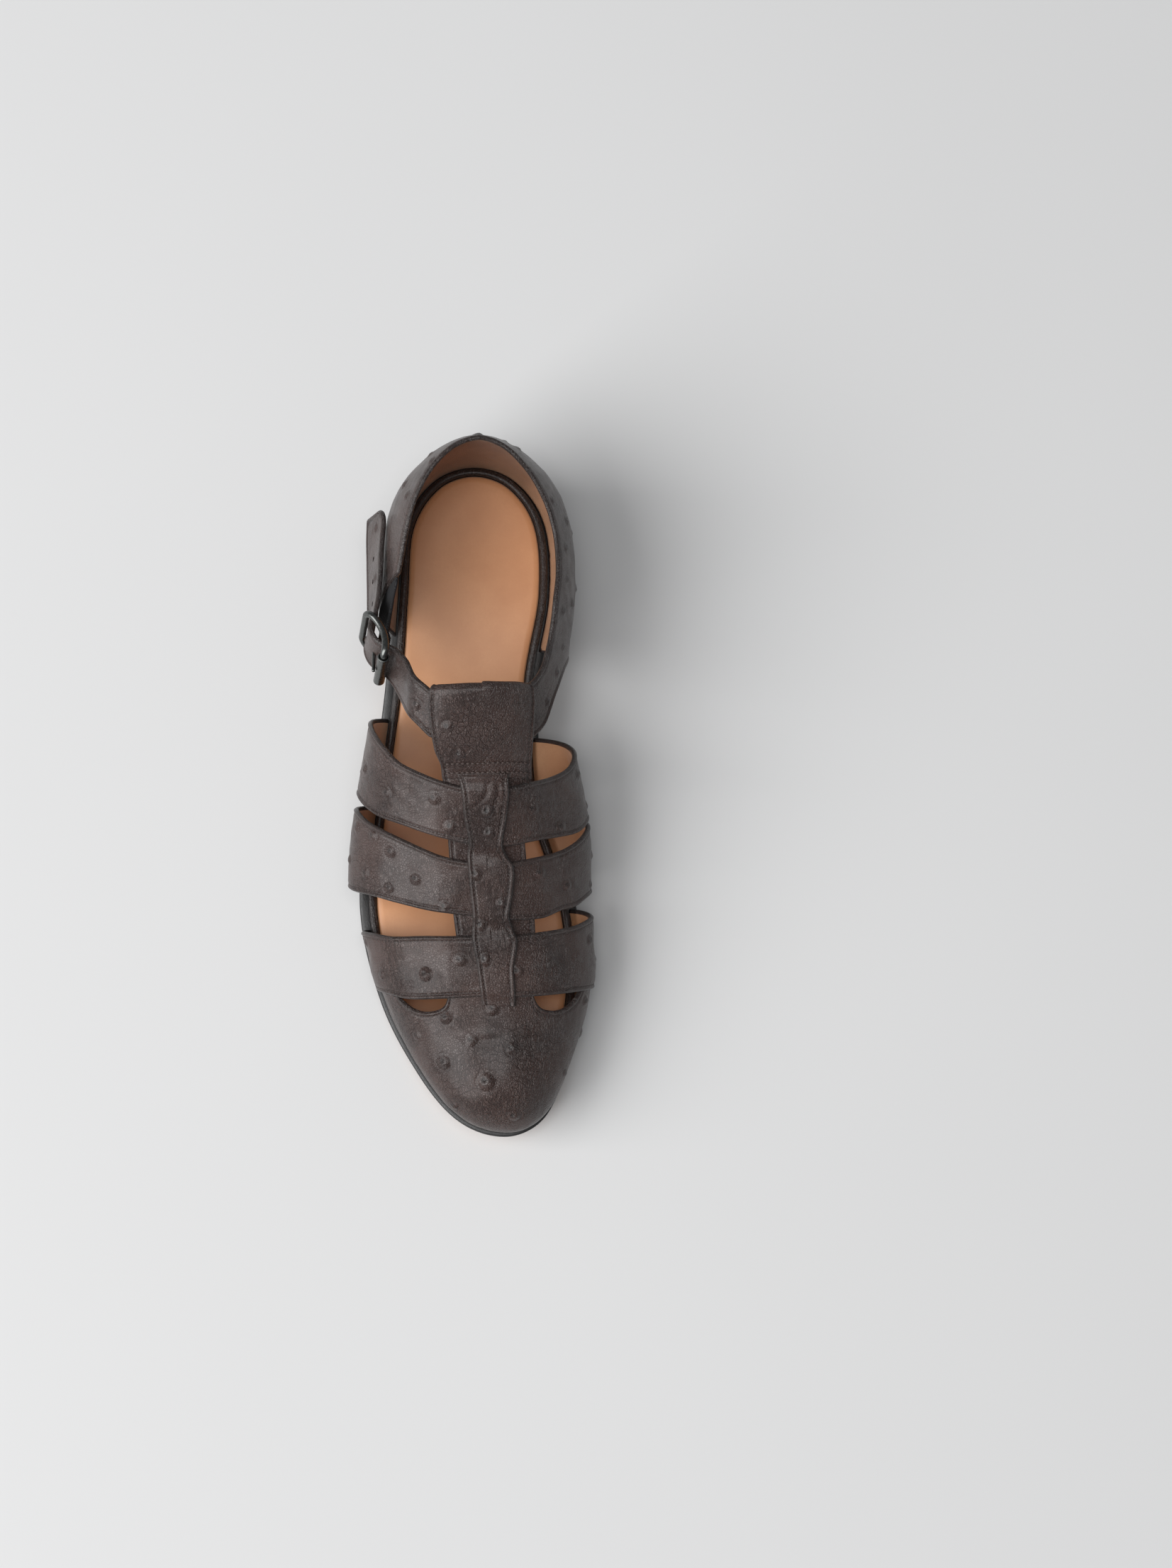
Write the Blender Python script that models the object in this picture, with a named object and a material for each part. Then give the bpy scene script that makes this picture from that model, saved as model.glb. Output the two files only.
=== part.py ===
"""Gurkha sandal, right shoe: welted leather sole, stacked heel, woven strap upper, side buckle.

Metres, +Z up, toe toward -Y, medial side toward +X. The origin lies under the heel on the floor.
Shoe coordinates are x across, a along from the back of the heel, z up.
"""
import math

import bmesh
import bpy
from mathutils import Vector

# Driving sizes
LENGTH = 0.290
BALL_WIDTH = 0.095
LAST_HEIGHT = 0.086
HEEL_HEIGHT = 0.016
TOP_PIECE = 0.006
OUTSOLE = 0.005
WELT = 0.0045
TOE_SPRING = 0.010
INSOLE = 0.003
RIM_HEIGHT = 0.0042
RIM_WIDTH = 0.0030
WELT_WIDTH = 0.009
WELT_PROUD = 0.0003
LEATHER = 0.0019
UNDER_LEATHER = 0.0016
GAP = 0.0003
SINK = 0.00024
FLARE = 0.007
HEEL_BACK = 0.033
HEEL_SET_IN = 0.0022
BREAST_AT = 0.0765
BREAST_HOLLOW = 0.0075

# Buckle, strap tail and elastic
STRAP_WIDTH = 0.0218
STRAP_PLAY = 0.0005
WIRE = 0.00145
ROLLER_WALL = 0.0006
ROLLER_AT = 0.010
REAR_BAR_AT = 0.0112
FRAME_BOW = 0.0030
FRONT_CORNER = 0.0026
REAR_CORNER = 0.0042
PRONG = 0.0008
PRONG_CLEAR = 0.0004
ELASTIC = 0.0014
ELASTIC_WIDTH = 0.018
ELASTIC_FROM, ELASTIC_SPAN = 0.36, 0.60
ELASTIC_TUCK, ELASTIC_LEAD, ELASTIC_STANDOFF = 0.0022, 0.012, 0.0004
ROLLER_END = 0.0012
BAR_SHARE = 0.96

# Welt outline: lateral and medial edge as shares of the ball width, ten even stations heel to toe
OUTLINE = [
    (0.0, 0.020, 0.020), (0.1, -0.185, 0.225), (0.2, -0.325, 0.360), (0.3, -0.360, 0.375),
    (0.4, -0.400, 0.300), (0.5, -0.472, 0.315), (0.6, -0.526, 0.447), (0.7, -0.442, 0.468),
    (0.8, -0.280, 0.381), (0.9, -0.105, 0.274), (1.0, 0.105, 0.105),
]
# Underside: share of length, share of heel height, share of toe spring
RIDE = [
    (0.00, 1.0, 0.0), (0.10, 1.0, 0.0), (0.24, 0.97, 0.0), (0.36, 0.68, 0.0), (0.48, 0.28, 0.0),
    (0.58, 0.05, 0.0), (0.62, 0.0, 0.0), (0.72, 0.0, 0.0), (0.80, 0.0, 0.10), (0.88, 0.0, 0.34),
    (1.00, 0.0, 1.0),
]
# Inner face of the upper, in from the welt edge: station, share of ball width
FEATHER = [(0.0, 0.034), (0.3, 0.034), (0.5, 0.037), (0.7, 0.040), (0.85, 0.047), (1.0, 0.053)]
# Underside of the outsole, in from its top edge: station, share of ball width
UNDERCUT = [(0.0, 0.004), (0.3, 0.008), (0.4, 0.028), (0.5, 0.022), (0.62, 0.010), (1.0, 0.008)]
# Ridge of the last: share of length, across, height over the feather as share of last height
RIDGE = [
    (0.12, 0.010, 1.000), (0.25, 0.010, 0.953), (0.36, 0.010, 0.837), (0.45, 0.015, 0.727),
    (0.55, 0.020, 0.616), (0.65, 0.030, 0.512), (0.75, 0.045, 0.413), (0.85, 0.070, 0.320),
    (0.90, 0.080, 0.279),
]
# Fullness of the cross-section: station, lateral and medial squareness, lateral and medial swell,
# height of the swell
FORM = [
    (0.00, 2.9, 2.9, 0.042, 0.042, 0.33), (0.10, 2.4, 2.1, 0.047, 0.062, 0.33),
    (0.20, 2.1, 1.65, 0.068, 0.100, 0.34), (0.30, 2.3, 1.8, 0.074, 0.115, 0.35),
    (0.38, 2.6, 2.2, 0.076, 0.130, 0.38), (0.45, 2.6, 2.6, 0.079, 0.160, 0.42),
    (0.52, 2.5, 2.5, 0.095, 0.187, 0.42), (0.59, 2.4, 2.4, 0.079, 0.100, 0.37),
    (0.63, 2.4, 2.4, 0.036, 0.080, 0.35), (0.70, 2.4, 2.4, 0.009, 0.053, 0.33),
    (0.80, 2.3, 2.3, 0.014, 0.036, 0.33), (0.90, 2.3, 2.3, 0.020, 0.026, 0.33),
    (1.00, 2.3, 2.3, 0.022, 0.022, 0.33),
]
RIDGE_BACK, RIDGE_TOE, RIDGE_SOFT = 0.12, 0.90, 0.035
TOE_CROWDING = 1.35

# Cross straps: turn round the foot, station of the rear edge, station of the front edge
STRAP_A = [
    (0.00, 0.424, 0.490), (0.16, 0.435, 0.500), (0.30, 0.450, 0.513), (0.43, 0.466, 0.525),
    (0.55, 0.481, 0.533), (0.71, 0.493, 0.543), (0.90, 0.504, 0.553), (1.00, 0.506, 0.556),
    (1.16, 0.505, 0.555), (1.34, 0.500, 0.550), (1.50, 0.494, 0.546), (1.64, 0.484, 0.540),
    (1.78, 0.468, 0.527), (2.00, 0.445, 0.510),
]
STRAP_B = [
    (0.00, 0.505, 0.578), (0.21, 0.515, 0.590), (0.38, 0.530, 0.598), (0.51, 0.541, 0.606),
    (0.68, 0.555, 0.615), (0.85, 0.567, 0.621), (1.00, 0.572, 0.625), (1.15, 0.570, 0.626),
    (1.33, 0.565, 0.624), (1.49, 0.559, 0.616), (1.61, 0.550, 0.611), (1.75, 0.535, 0.600),
    (2.00, 0.512, 0.585),
]
STRAP_C = [
    (0.00, 0.626, 0.690), (0.28, 0.634, 0.700), (0.45, 0.640, 0.708), (0.70, 0.642, 0.711),
    (1.00, 0.643, 0.711), (1.30, 0.638, 0.708), (1.55, 0.632, 0.703), (1.75, 0.622, 0.698),
    (2.00, 0.607, 0.690),
]
# Rear edge of the toe piece with its two scooped openings: turn, station
TOE_EDGE = [
    (0.00, 0.672), (0.25, 0.680), (0.36, 0.708), (0.48, 0.723), (0.62, 0.726), (0.72, 0.718),
    (0.80, 0.690), (1.00, 0.680), (1.20, 0.690), (1.28, 0.718), (1.38, 0.726), (1.52, 0.723),
    (1.64, 0.708), (1.75, 0.680), (2.00, 0.672),
]
# Lift of a cross strap over the under strap: turn, share of the full layer
CROSSING = [(0.00, 0.0), (0.62, 0.0), (0.78, 1.0), (1.34, 1.0), (1.50, 0.0), (2.00, 0.0)]
# Under strap and the loop folded from it: place on the path, station, medial turn, lateral turn,
# middle of the layer as share of the under leather
UNDER = [
    (0.00, 0.700, 1.24, 0.87, 0.62), (0.30, 0.630, 1.28, 0.85, 0.62), (0.60, 0.555, 1.26, 0.84, 0.62),
    (0.80, 0.500, 1.32, 0.81, 0.62), (1.00, 0.438, 1.34, 0.76, 0.62),
]
LOOP = [
    (0.00, 0.448, 1.335, 0.77, 0.48), (0.14, 0.4230, 1.365, 0.735, 0.50),
    (0.20, 0.4199, 1.370, 0.73, 0.86), (0.26, 0.4186, 1.370, 0.73, 1.725),
    (0.32, 0.4199, 1.370, 0.73, 2.59), (0.38, 0.4230, 1.370, 0.73, 2.95),
    (0.50, 0.4340, 1.370, 0.73, 2.95), (0.78, 0.4700, 1.340, 0.77, 2.80),
    (0.89, 0.4840, 1.340, 0.80, 1.80), (1.00, 0.4970, 1.340, 0.81, 1.38),
]
# Central strip: station, lateral turn, medial turn, underside as share of its leather
STRIP = [
    (0.492, 0.88, 1.17, 0.62), (0.501, 0.90, 1.165, 0.75), (0.508, 0.91, 1.16, 1.28),
    (0.530, 0.92, 1.13, 1.30), (0.553, 0.94, 1.09, 1.25), (0.563, 0.93, 1.11, 0.78),
    (0.574, 0.93, 1.15, 1.25), (0.600, 0.935, 1.13, 1.30), (0.622, 0.94, 1.10, 1.25),
    (0.634, 0.935, 1.12, 0.72), (0.646, 0.93, 1.14, 1.25), (0.675, 0.94, 1.11, 1.30),
    (0.704, 0.94, 1.11, 1.25), (0.716, 0.94, 1.11, 0.70), (0.722, 0.94, 1.11, 0.62),
]
# Quarter and ankle strap, one piece: signed station and lift of the lower edge, of the upper edge,
# and the layer it lies on as share of the under leather
WRAP = [
    (-0.342, 0.00, -0.300, 0.380, 0.0), (-0.300, 0.00, -0.262, 0.420, 0.0),
    (-0.250, 0.00, -0.225, 0.455, 0.0), (-0.200, 0.00, -0.185, 0.475, 0.0),
    (-0.150, 0.00, -0.140, 0.475, 0.0), (-0.100, 0.00, -0.095, 0.465, 0.0),
    (-0.050, 0.00, -0.050, 0.440, 0.0), (0.000, 0.00, 0.000, 0.420, 0.0),
    (0.050, 0.00, 0.050, 0.440, 0.0), (0.100, 0.00, 0.095, 0.465, 0.0),
    (0.150, 0.00, 0.140, 0.475, 0.0), (0.200, 0.00, 0.185, 0.475, 0.0),
    (0.250, 0.00, 0.225, 0.455, 0.0), (0.300, 0.00, 0.262, 0.435, 0.0),
    (0.338, 0.00, 0.298, 0.430, 0.0), (0.362, 0.00, 0.330, 0.440, 0.0),
    (0.376, 0.15, 0.355, 0.440, 0.0), (0.395, 0.29, 0.378, 0.455, 0.0),
    (0.423, 0.41, 0.398, 0.500, 0.1), (0.450, 0.52, 0.412, 0.580, 0.4),
    (0.463, 0.64, 0.420, 0.680, 0.75), (0.467, 0.80, 0.424, 0.820, 0.75),
    (0.467, 1.00, 0.425, 1.000, 0.75), (0.465, 1.15, 0.425, 1.120, 0.75),
    (0.460, 1.27, 0.424, 1.240, 0.80), (0.443, 1.40, 0.408, 1.390, 0.8),
]
# The strap's way through the buckle, as shares of the roller's distance: lower and upper edge ahead of
# the centre bar, lower and upper edge off its plane, rise; width as share of the strap
THREAD = [
    (2.25, 1.55, -0.290, -0.490, 0.22, 1.0), (1.55, 1.05, -0.270, -0.380, 0.08, 1.0),
    (1.05, 0.80, -0.180, -0.300, 0.0, 1.0), (0.68, 0.62, -0.020, -0.120, 0.0, 1.0),
    (0.38, 0.36, 0.200, 0.150, 0.0, 1.0), (0.10, 0.10, 0.330, 0.310, 0.0, 1.0),
    (-0.25, -0.25, 0.365, 0.350, 0.0, 0.99), (-0.55, -0.55, 0.310, 0.300, 0.0, 0.95),
    (-0.80, -0.80, 0.150, 0.130, 0.0, 0.93), (-1.00, -1.00, -0.050, -0.080, 0.0, 0.93),
    (-1.25, -1.25, -0.130, -0.200, 0.0, 0.96), (-1.75, -1.75, -0.260, -0.480, 0.0, 1.0),
    (-2.58, -2.58, -0.540, -0.850, 0.0, 1.0), (-3.55, -3.55, -0.870, -1.245, 0.0, 1.0),
    (-4.47, -4.45, -1.180, -1.620, 0.0, 1.0), (-5.05, -4.95, -1.370, -1.850, 0.0, 1.0),
    (-5.60, -5.30, -1.560, -1.970, 0.0, 0.99), (-6.10, -5.60, -1.750, -2.010, 0.0, 0.93),
    (-6.45, -5.80, -1.880, -2.010, 0.0, 0.76),
]
# Elastic from the bar back to the quarter: ahead of the bar and off its plane, as above
STRETCH = [(0.15, -0.270), (-0.20, -0.300), (-0.60, -0.500), (-1.10, -0.780)]
BUCKLE_AT = (-0.423, 0.3055, 0.493)
BUCKLE_AHEAD = Vector((0.315, -0.911, 0.267)).normalized()
BUCKLE_UP = Vector((0.091, 0.308, 0.947))

# Direction that no wire runs along, to turn its sections by
ROD_REFERENCE = Vector((0.137, 0.211, 0.968)).normalized()

COLOURS = {
    "brown": (0.075, 0.050, 0.042), "tan": (0.62, 0.36, 0.20), "black": (0.02, 0.02, 0.02),
    "insole": (0.58, 0.33, 0.20), "metal": (0.16, 0.165, 0.16), "rubber": (0.035, 0.037, 0.04),
}


# Curves and the last
def spline(rows, at, column):
    """Smooth value of one table column, the first column being the place."""
    final = len(rows) - 1
    at = min(max(at, rows[0][0]), rows[final][0])
    k = 0
    while k < final - 1 and at > rows[k + 1][0]:
        k += 1

    def slope(i):
        low, high = rows[max(i - 1, 0)], rows[min(i + 1, final)]
        return (high[column] - low[column]) / (high[0] - low[0])

    width = rows[k + 1][0] - rows[k][0]
    t = (at - rows[k][0]) / width
    return ((2 * t**3 - 3 * t**2 + 1) * rows[k][column] + (t**3 - 2 * t**2 + t) * width * slope(k)
            + (3 * t**2 - 2 * t**3) * rows[k + 1][column] + (t**3 - t**2) * width * slope(k + 1))


def step_between(rows, at, column):
    """Straight value of one table column between its rows."""
    for low, high in zip(rows, rows[1:]):
        if at <= high[0]:
            share = min(max((at - low[0]) / (high[0] - low[0]), 0.0), 1.0)
            return low[column] + (high[column] - low[column]) * share
    return rows[-1][column]


def along(station):
    return LENGTH * (1 - math.cos(math.pi * station)) / 2


def place(x, a, z):
    return Vector((x, HEEL_BACK - a, z))


def underside(a):
    """Height of the outsole's lower face."""
    share = a / LENGTH
    height = HEEL_HEIGHT * spline(RIDE, share, 1) + TOE_SPRING * spline(RIDE, share, 2)
    return max(height, 0.0)


def welt_floor(a):
    return underside(a) + OUTSOLE + GAP


def deck(a):
    """Height on which upper, rim and insole stand."""
    return welt_floor(a) + WELT + GAP


def welt_edge(station, medial):
    """Point (x, a) of the welt outline; beyond either end it runs on along the other side."""
    if station < 0.0 or station > 1.0:
        station, medial = (-station if station < 0.0 else 2 - station), not medial
    return BALL_WIDTH * spline(OUTLINE, station, 2 if medial else 1), along(station)


def outline_point(station, medial, inset):
    """Point (x, a) of the welt outline moved inward."""
    x0, a0 = welt_edge(station - 0.002, medial)
    x1, a1 = welt_edge(station + 0.002, medial)
    outward = Vector((a1 - a0, x0 - x1)) if medial else Vector((a0 - a1, x1 - x0))
    return Vector(welt_edge(station, medial)) - outward.normalized() * inset


def soft_clamp(value, low, high, soft):
    def above(v):
        return soft * math.log1p(math.exp(-abs(v) / soft)) + max(v, 0.0)

    value = low + above(value - low)
    return high - above(high - value)


def last_point(station, turn):
    """Point on the last: turn 0 is the lateral feather, 1 the ridge, 2 the medial feather."""
    if station < 0.0:
        station, turn = -station, 2 - turn
    if station > 1.0:
        station, turn = 2 - station, 2 - turn
    turn = min(max(turn, 0.0), 2.0)
    medial = turn > 1.0
    lift = 2 - turn if medial else turn
    foot = outline_point(station, medial, BALL_WIDTH * spline(FEATHER, station, 1))
    share = soft_clamp(foot.y / LENGTH, RIDGE_BACK, RIDGE_TOE, RIDGE_SOFT)
    crest = Vector((BALL_WIDTH * spline(RIDGE, share, 1), share * LENGTH))
    crest_z = deck(crest.y) + LAST_HEIGHT * spline(RIDGE, share, 2)
    square = spline(FORM, station, 2 if medial else 1)
    swell = BALL_WIDTH * spline(FORM, station, 4 if medial else 3)
    peak = spline(FORM, station, 5)
    power = (1 - peak) / peak
    height = math.sin(lift * math.pi / 2) ** (2 / square)
    inward = 1 - max(math.cos(lift * math.pi / 2), 0.0) ** (2 / square)
    reach = foot - crest
    bulge = swell * height * (1 - height) ** power / (peak * (1 - peak) ** power)
    at = crest + reach * (1 - inward) + reach.normalized() * bulge
    base = deck(foot.y)
    return place(at.x, at.y, base + (crest_z - base) * height)


def surface_normal(surface, u, v):
    """Unit normal of a surface, laid level where it meets the welt."""
    e = 0.002
    across = surface(u + e, v) - surface(u - e, v)
    up = surface(u, v + e) - surface(u, v - e)
    normal = across.cross(up)
    if normal.length < 1e-12:
        return Vector((0.0, 0.0, 1.0))
    normal.normalize()
    at = surface(u, v)
    rise = (at.z - deck(HEEL_BACK - at.y)) / FLARE
    if rise < 1.0:
        normal.z *= max(rise, 0.0)
        normal.normalize()
    return normal


def skin(station, turn, offset):
    """Point at a distance off the last."""
    return last_point(station, turn) + surface_normal(last_point, station, turn) * offset


# Mesh helpers
def link(name, bm, colour, group):
    bmesh.ops.remove_doubles(bm, verts=bm.verts, dist=0.00005)
    bmesh.ops.recalc_face_normals(bm, faces=bm.faces)
    mesh = bpy.data.meshes.new(name)
    bm.to_mesh(mesh)
    bm.free()
    obj = bpy.data.objects.new(name, mesh)
    group.objects.link(obj)
    material = bpy.data.materials.new(name)
    material.use_nodes = True
    shader = material.node_tree.nodes["Principled BSDF"]
    shader.inputs["Base Color"].default_value = (*COLOURS[colour], 1.0)
    shader.inputs["Roughness"].default_value = 0.35 if colour == "metal" else 0.6
    shader.inputs["Metallic"].default_value = 1.0 if colour == "metal" else 0.0
    mesh.materials.append(material)
    return obj


def unit_slab(columns, rows):
    """Grid of unit size, one unit thick."""
    bm = bmesh.new()
    bmesh.ops.create_grid(bm, x_segments=columns, y_segments=rows, size=0.5)
    lifted = bmesh.ops.extrude_face_region(bm, geom=bm.faces[:] + bm.verts[:] + bm.edges[:])
    for vert in [g for g in lifted["geom"] if isinstance(g, bmesh.types.BMVert)]:
        vert.co.z = 1.0
    return bm


def sheet(name, surface, inner, outer, columns, rows, colour, group, seam=False):
    """Closed leather sheet between two offsets of a surface(u, v); a seam folds its u = 1 edge shut."""
    bm = unit_slab(columns, rows)
    if seam:
        walls = [f for f in bm.faces if all(v.co.x > 0.499 for v in f.verts)]
        bmesh.ops.delete(bm, geom=walls, context="FACES")
    for vert in bm.verts:
        u, v, side = vert.co.x + 0.5, vert.co.y + 0.5, vert.co.z
        offset = outer(u, v) if side > 0.5 else inner(u, v)
        vert.co = surface(u, v) + surface_normal(surface, u, v) * offset
        vert.co.z = max(vert.co.z, deck(HEEL_BACK - vert.co.y))
    return link(name, bm, colour, group)


def plate(name, plan, low, high, columns, rows, colour, group):
    """Closed plate between two heights over a plan(u, v, side)."""
    bm = unit_slab(columns, rows)
    for vert in bm.verts:
        side = vert.co.z
        at = plan(vert.co.x + 0.5, vert.co.y + 0.5, side)
        z = high(at.y) if side > 0.5 else low(at.y)
        vert.co = place(at.x, at.y, z)
    return link(name, bm, colour, group)


def rod(name, points, radius, sides, closed, colour, group):
    """Wire swept along a line of points."""
    bm = bmesh.new()
    count = len(points)
    rings = []
    for i, point in enumerate(points):
        before = points[i - 1] if closed or i > 0 else point
        after = points[(i + 1) % count] if closed or i < count - 1 else point
        ahead = (after - before).normalized()
        side = ahead.cross(ROD_REFERENCE).normalized()
        top = side.cross(ahead)
        ring = []
        for k in range(sides):
            angle = 2 * math.pi * k / sides
            ring.append(bm.verts.new(point + (side * math.cos(angle) + top * math.sin(angle)) * radius))
        rings.append(ring)
    spans = count if closed else count - 1
    for i in range(spans):
        near, far = rings[i], rings[(i + 1) % count]
        for k in range(sides):
            bm.faces.new((near[k], near[(k + 1) % sides], far[(k + 1) % sides], far[k]))
    if not closed:
        bm.faces.new(rings[0])
        bm.faces.new(rings[-1][::-1])
    return link(name, bm, colour, group)


def boolean(obj, operation, other):
    modifier = obj.modifiers.new(operation.title(), "BOOLEAN")
    modifier.operation = operation
    modifier.solver = "EXACT"
    if isinstance(other, bpy.types.Collection):
        modifier.operand_type = "COLLECTION"
        modifier.collection = other
    else:
        modifier.object = other
    return modifier


def hide(obj):
    obj.display_type = "WIRE"
    obj.hide_render = True


# Sole
def sole_plan(inset):
    """Plan of a full sole plate, its edge moved in by inset(station, side)."""
    def plan(u, v, side):
        lateral = outline_point(u, False, inset(u, side))
        medial = outline_point(u, True, inset(u, side))
        return lateral.lerp(medial, v)
    return plan


def feather_inset(station):
    return BALL_WIDTH * spline(FEATHER, station, 1)


def build_sole(parts, cutters):
    plate("outsole",
          sole_plan(lambda s, side: WELT_PROUD + (0.0 if side else BALL_WIDTH * spline(UNDERCUT, s, 1))),
          underside, lambda a: underside(a) + OUTSOLE, 44, 4, "tan", parts)
    welt = plate("welt", sole_plan(lambda s, side: 0.0), welt_floor, lambda a: welt_floor(a) + WELT,
                 44, 4, "black", parts)
    cut = plate("welt_cutter", sole_plan(lambda s, side: WELT_WIDTH), lambda a: welt_floor(a) - WELT,
                lambda a: welt_floor(a) + 2 * WELT, 36, 3, "black", cutters)
    hide(cut)
    boolean(welt, "DIFFERENCE", cut)
    plate("filler", sole_plan(lambda s, side: WELT_WIDTH + GAP), welt_floor,
          lambda a: welt_floor(a) + WELT, 36, 3, "tan", parts)
    rim = plate("insole_binding", sole_plan(lambda s, side: feather_inset(s) + GAP), deck,
                lambda a: deck(a) + RIM_HEIGHT, 40, 3, "brown", parts)
    cut = plate("rim_cutter", sole_plan(lambda s, side: feather_inset(s) + GAP + RIM_WIDTH),
                lambda a: deck(a) - RIM_HEIGHT, lambda a: deck(a) + 2 * RIM_HEIGHT, 40, 3, "brown", cutters)
    hide(cut)
    boolean(rim, "DIFFERENCE", cut)
    plate("insole", sole_plan(lambda s, side: feather_inset(s) + 2 * GAP + RIM_WIDTH), deck,
          lambda a: deck(a) + INSOLE, 40, 4, "insole", parts)


def breast_station():
    return math.acos(1 - 2 * BREAST_AT / LENGTH) / math.pi


def heel_plan(u, v, side):
    """Plan of the heel with its hollow breast."""
    station = breast_station() * u
    lateral = outline_point(station, False, HEEL_SET_IN)
    medial = outline_point(station, True, HEEL_SET_IN)
    at = lateral.lerp(medial, v)
    at.y -= BREAST_HOLLOW * (1 - (2 * v - 1) ** 2) * u**4
    return at


def dovetail(name, margin, group):
    """Block that covers the rubber quarter and its tenon, grown by a margin."""
    front, reach = 0.100 * LENGTH, 0.032 * LENGTH
    root, tip = 0.100 * BALL_WIDTH, 0.132 * BALL_WIDTH
    wide = BALL_WIDTH
    corners = [
        (-wide, -front), (wide, -front), (wide, front + margin), (root + margin, front + margin),
        (tip + margin, front + reach + margin), (-tip - margin, front + reach + margin),
        (-root - margin, front + margin), (-wide, front + margin),
    ]
    bm = bmesh.new()
    base = [bm.verts.new(place(x, a, -TOP_PIECE)) for x, a in corners]
    face = bm.faces.new(base)
    lifted = bmesh.ops.extrude_face_region(bm, geom=[face])
    for vert in [g for g in lifted["geom"] if isinstance(g, bmesh.types.BMVert)]:
        vert.co.z = 2 * TOP_PIECE
    block = link(name, bm, "rubber", group)
    hide(block)
    return block


def build_heel(parts, cutters):
    plate("heel_stack", heel_plan, lambda a: TOP_PIECE + GAP, lambda a: underside(a) - GAP,
          16, 10, "black", parts)
    leather = plate("heel_top_leather", heel_plan, lambda a: 0.0, lambda a: TOP_PIECE, 16, 10, "tan", parts)
    boolean(leather, "DIFFERENCE", dovetail("dovetail_cutter", GAP, cutters))
    rubber = plate("heel_top_rubber", heel_plan, lambda a: 0.0, lambda a: TOP_PIECE, 16, 10, "rubber", parts)
    boolean(rubber, "INTERSECT", dovetail("dovetail_keeper", 0.0, cutters))


# Upper
def toe_surface(u, v):
    turn = 2 * v
    rear = spline(TOE_EDGE, turn, 1)
    left = math.copysign(abs(1 - u) ** TOE_CROWDING, 1 - u)
    return last_point(rear + (1 - rear) * (1 - left), turn)


def cross_surface(rows):
    def surface(u, v):
        turn = 2 * v
        rear, front = spline(rows, turn, 1), spline(rows, turn, 2)
        return last_point(rear + (front - rear) * u, turn)
    return surface


def cross_layer(front_lift):
    """Underside of a cross strap: up over the under strap, and up at the front where it laps."""
    layer = UNDER_LEATHER - SINK

    def inner(u, v):
        over = max(step_between(CROSSING, 2 * v, 1), front_lift * min(max((u - 0.35) / 0.3, 0.0), 1.0))
        return layer * over
    return inner


def path_surface(rows):
    def surface(u, v):
        turn = spline(rows, u, 2) + (spline(rows, u, 3) - spline(rows, u, 2)) * v
        return skin(spline(rows, u, 1), turn, UNDER_LEATHER * spline(rows, u, 4))
    return surface


def strip_station(u):
    return STRIP[0][0] + (STRIP[-1][0] - STRIP[0][0]) * u


def strip_surface(u, v):
    station = strip_station(u)
    turn = spline(STRIP, station, 1) + (spline(STRIP, station, 2) - spline(STRIP, station, 1)) * v
    return last_point(station, turn)


def buckle_frame():
    """Origin on the centre bar, and the directions ahead, up and outward."""
    a = BUCKLE_AT[1] * LENGTH
    origin = place(BUCKLE_AT[0] * BALL_WIDTH, a, deck(a) + BUCKLE_AT[2] * LAST_HEIGHT)
    outward = BUCKLE_AHEAD.cross(BUCKLE_UP).normalized()
    return origin, BUCKLE_AHEAD, outward.cross(BUCKLE_AHEAD), outward


def in_buckle(ahead, up, out):
    origin, x, y, z = buckle_frame()
    return origin + x * ahead + y * up + z * out


def wrap_edge(row, upper, layer):
    """Point on the lower or upper edge of a wrap row."""
    station, lift = (row[2], row[3]) if upper else (row[0], row[1])
    turn = 2 - lift if station >= 0 else lift
    return skin(abs(station), turn, layer)


def thread_edge(row, upper):
    ahead, out = (row[1], row[3]) if upper else (row[0], row[2])
    half = STRAP_WIDTH / 2 * row[5] * (1 if upper else -1)
    return in_buckle(ahead * ROLLER_AT, half + row[4] * ROLLER_AT, out * ROLLER_AT)


def wrap_rows():
    """Edge points of the free strap, from just after the loop to the tip of the tail."""
    rows = [(wrap_edge(row, False, UNDER_LEATHER * row[4] + LEATHER / 2),
             wrap_edge(row, True, UNDER_LEATHER * row[4] + LEATHER / 2)) for row in WRAP[-2:]]
    return rows + [(thread_edge(row, False), thread_edge(row, True)) for row in THREAD]


def curve_through(points, at):
    """Smooth point on a row of points, at counted in rows."""
    final = len(points) - 1
    at = min(max(at, 0.0), float(final))
    k = min(int(at), final - 1)
    t = at - k
    p0, p1, p2, p3 = points[max(k - 1, 0)], points[k], points[k + 1], points[min(k + 2, final)]
    return 0.5 * (2 * p1 + (p2 - p0) * t + (2 * p0 - 5 * p1 + 4 * p2 - p3) * t**2
                  + (3 * p1 - p0 - 3 * p2 + p3) * t**3)


def wrap_surface_maker():
    lower, upper = zip(*wrap_rows())
    on_last = [(float(i), *row) for i, row in enumerate(WRAP)]
    first_free = len(WRAP) - 2
    final = len(WRAP) + len(THREAD) - 1

    def surface(u, v):
        at = v * final
        blend = min(max(at - first_free, 0.0), 1.0)
        blend = blend * blend * (3 - 2 * blend)
        free = curve_through(lower, at - first_free).lerp(curve_through(upper, at - first_free), u)
        if blend >= 1.0:
            return free
        station = spline(on_last, at, 1) + (spline(on_last, at, 3) - spline(on_last, at, 1)) * u
        low = step_between(on_last, at, 2)
        lift = low + (spline(on_last, at, 4) - low) * u
        layer = UNDER_LEATHER * spline(on_last, at, 5) + LEATHER / 2
        if station >= 0:
            worn = skin(station, 2 - lift, layer)
        else:
            worn = skin(-station, lift, layer)
        return worn.lerp(free, blend)
    return surface


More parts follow.
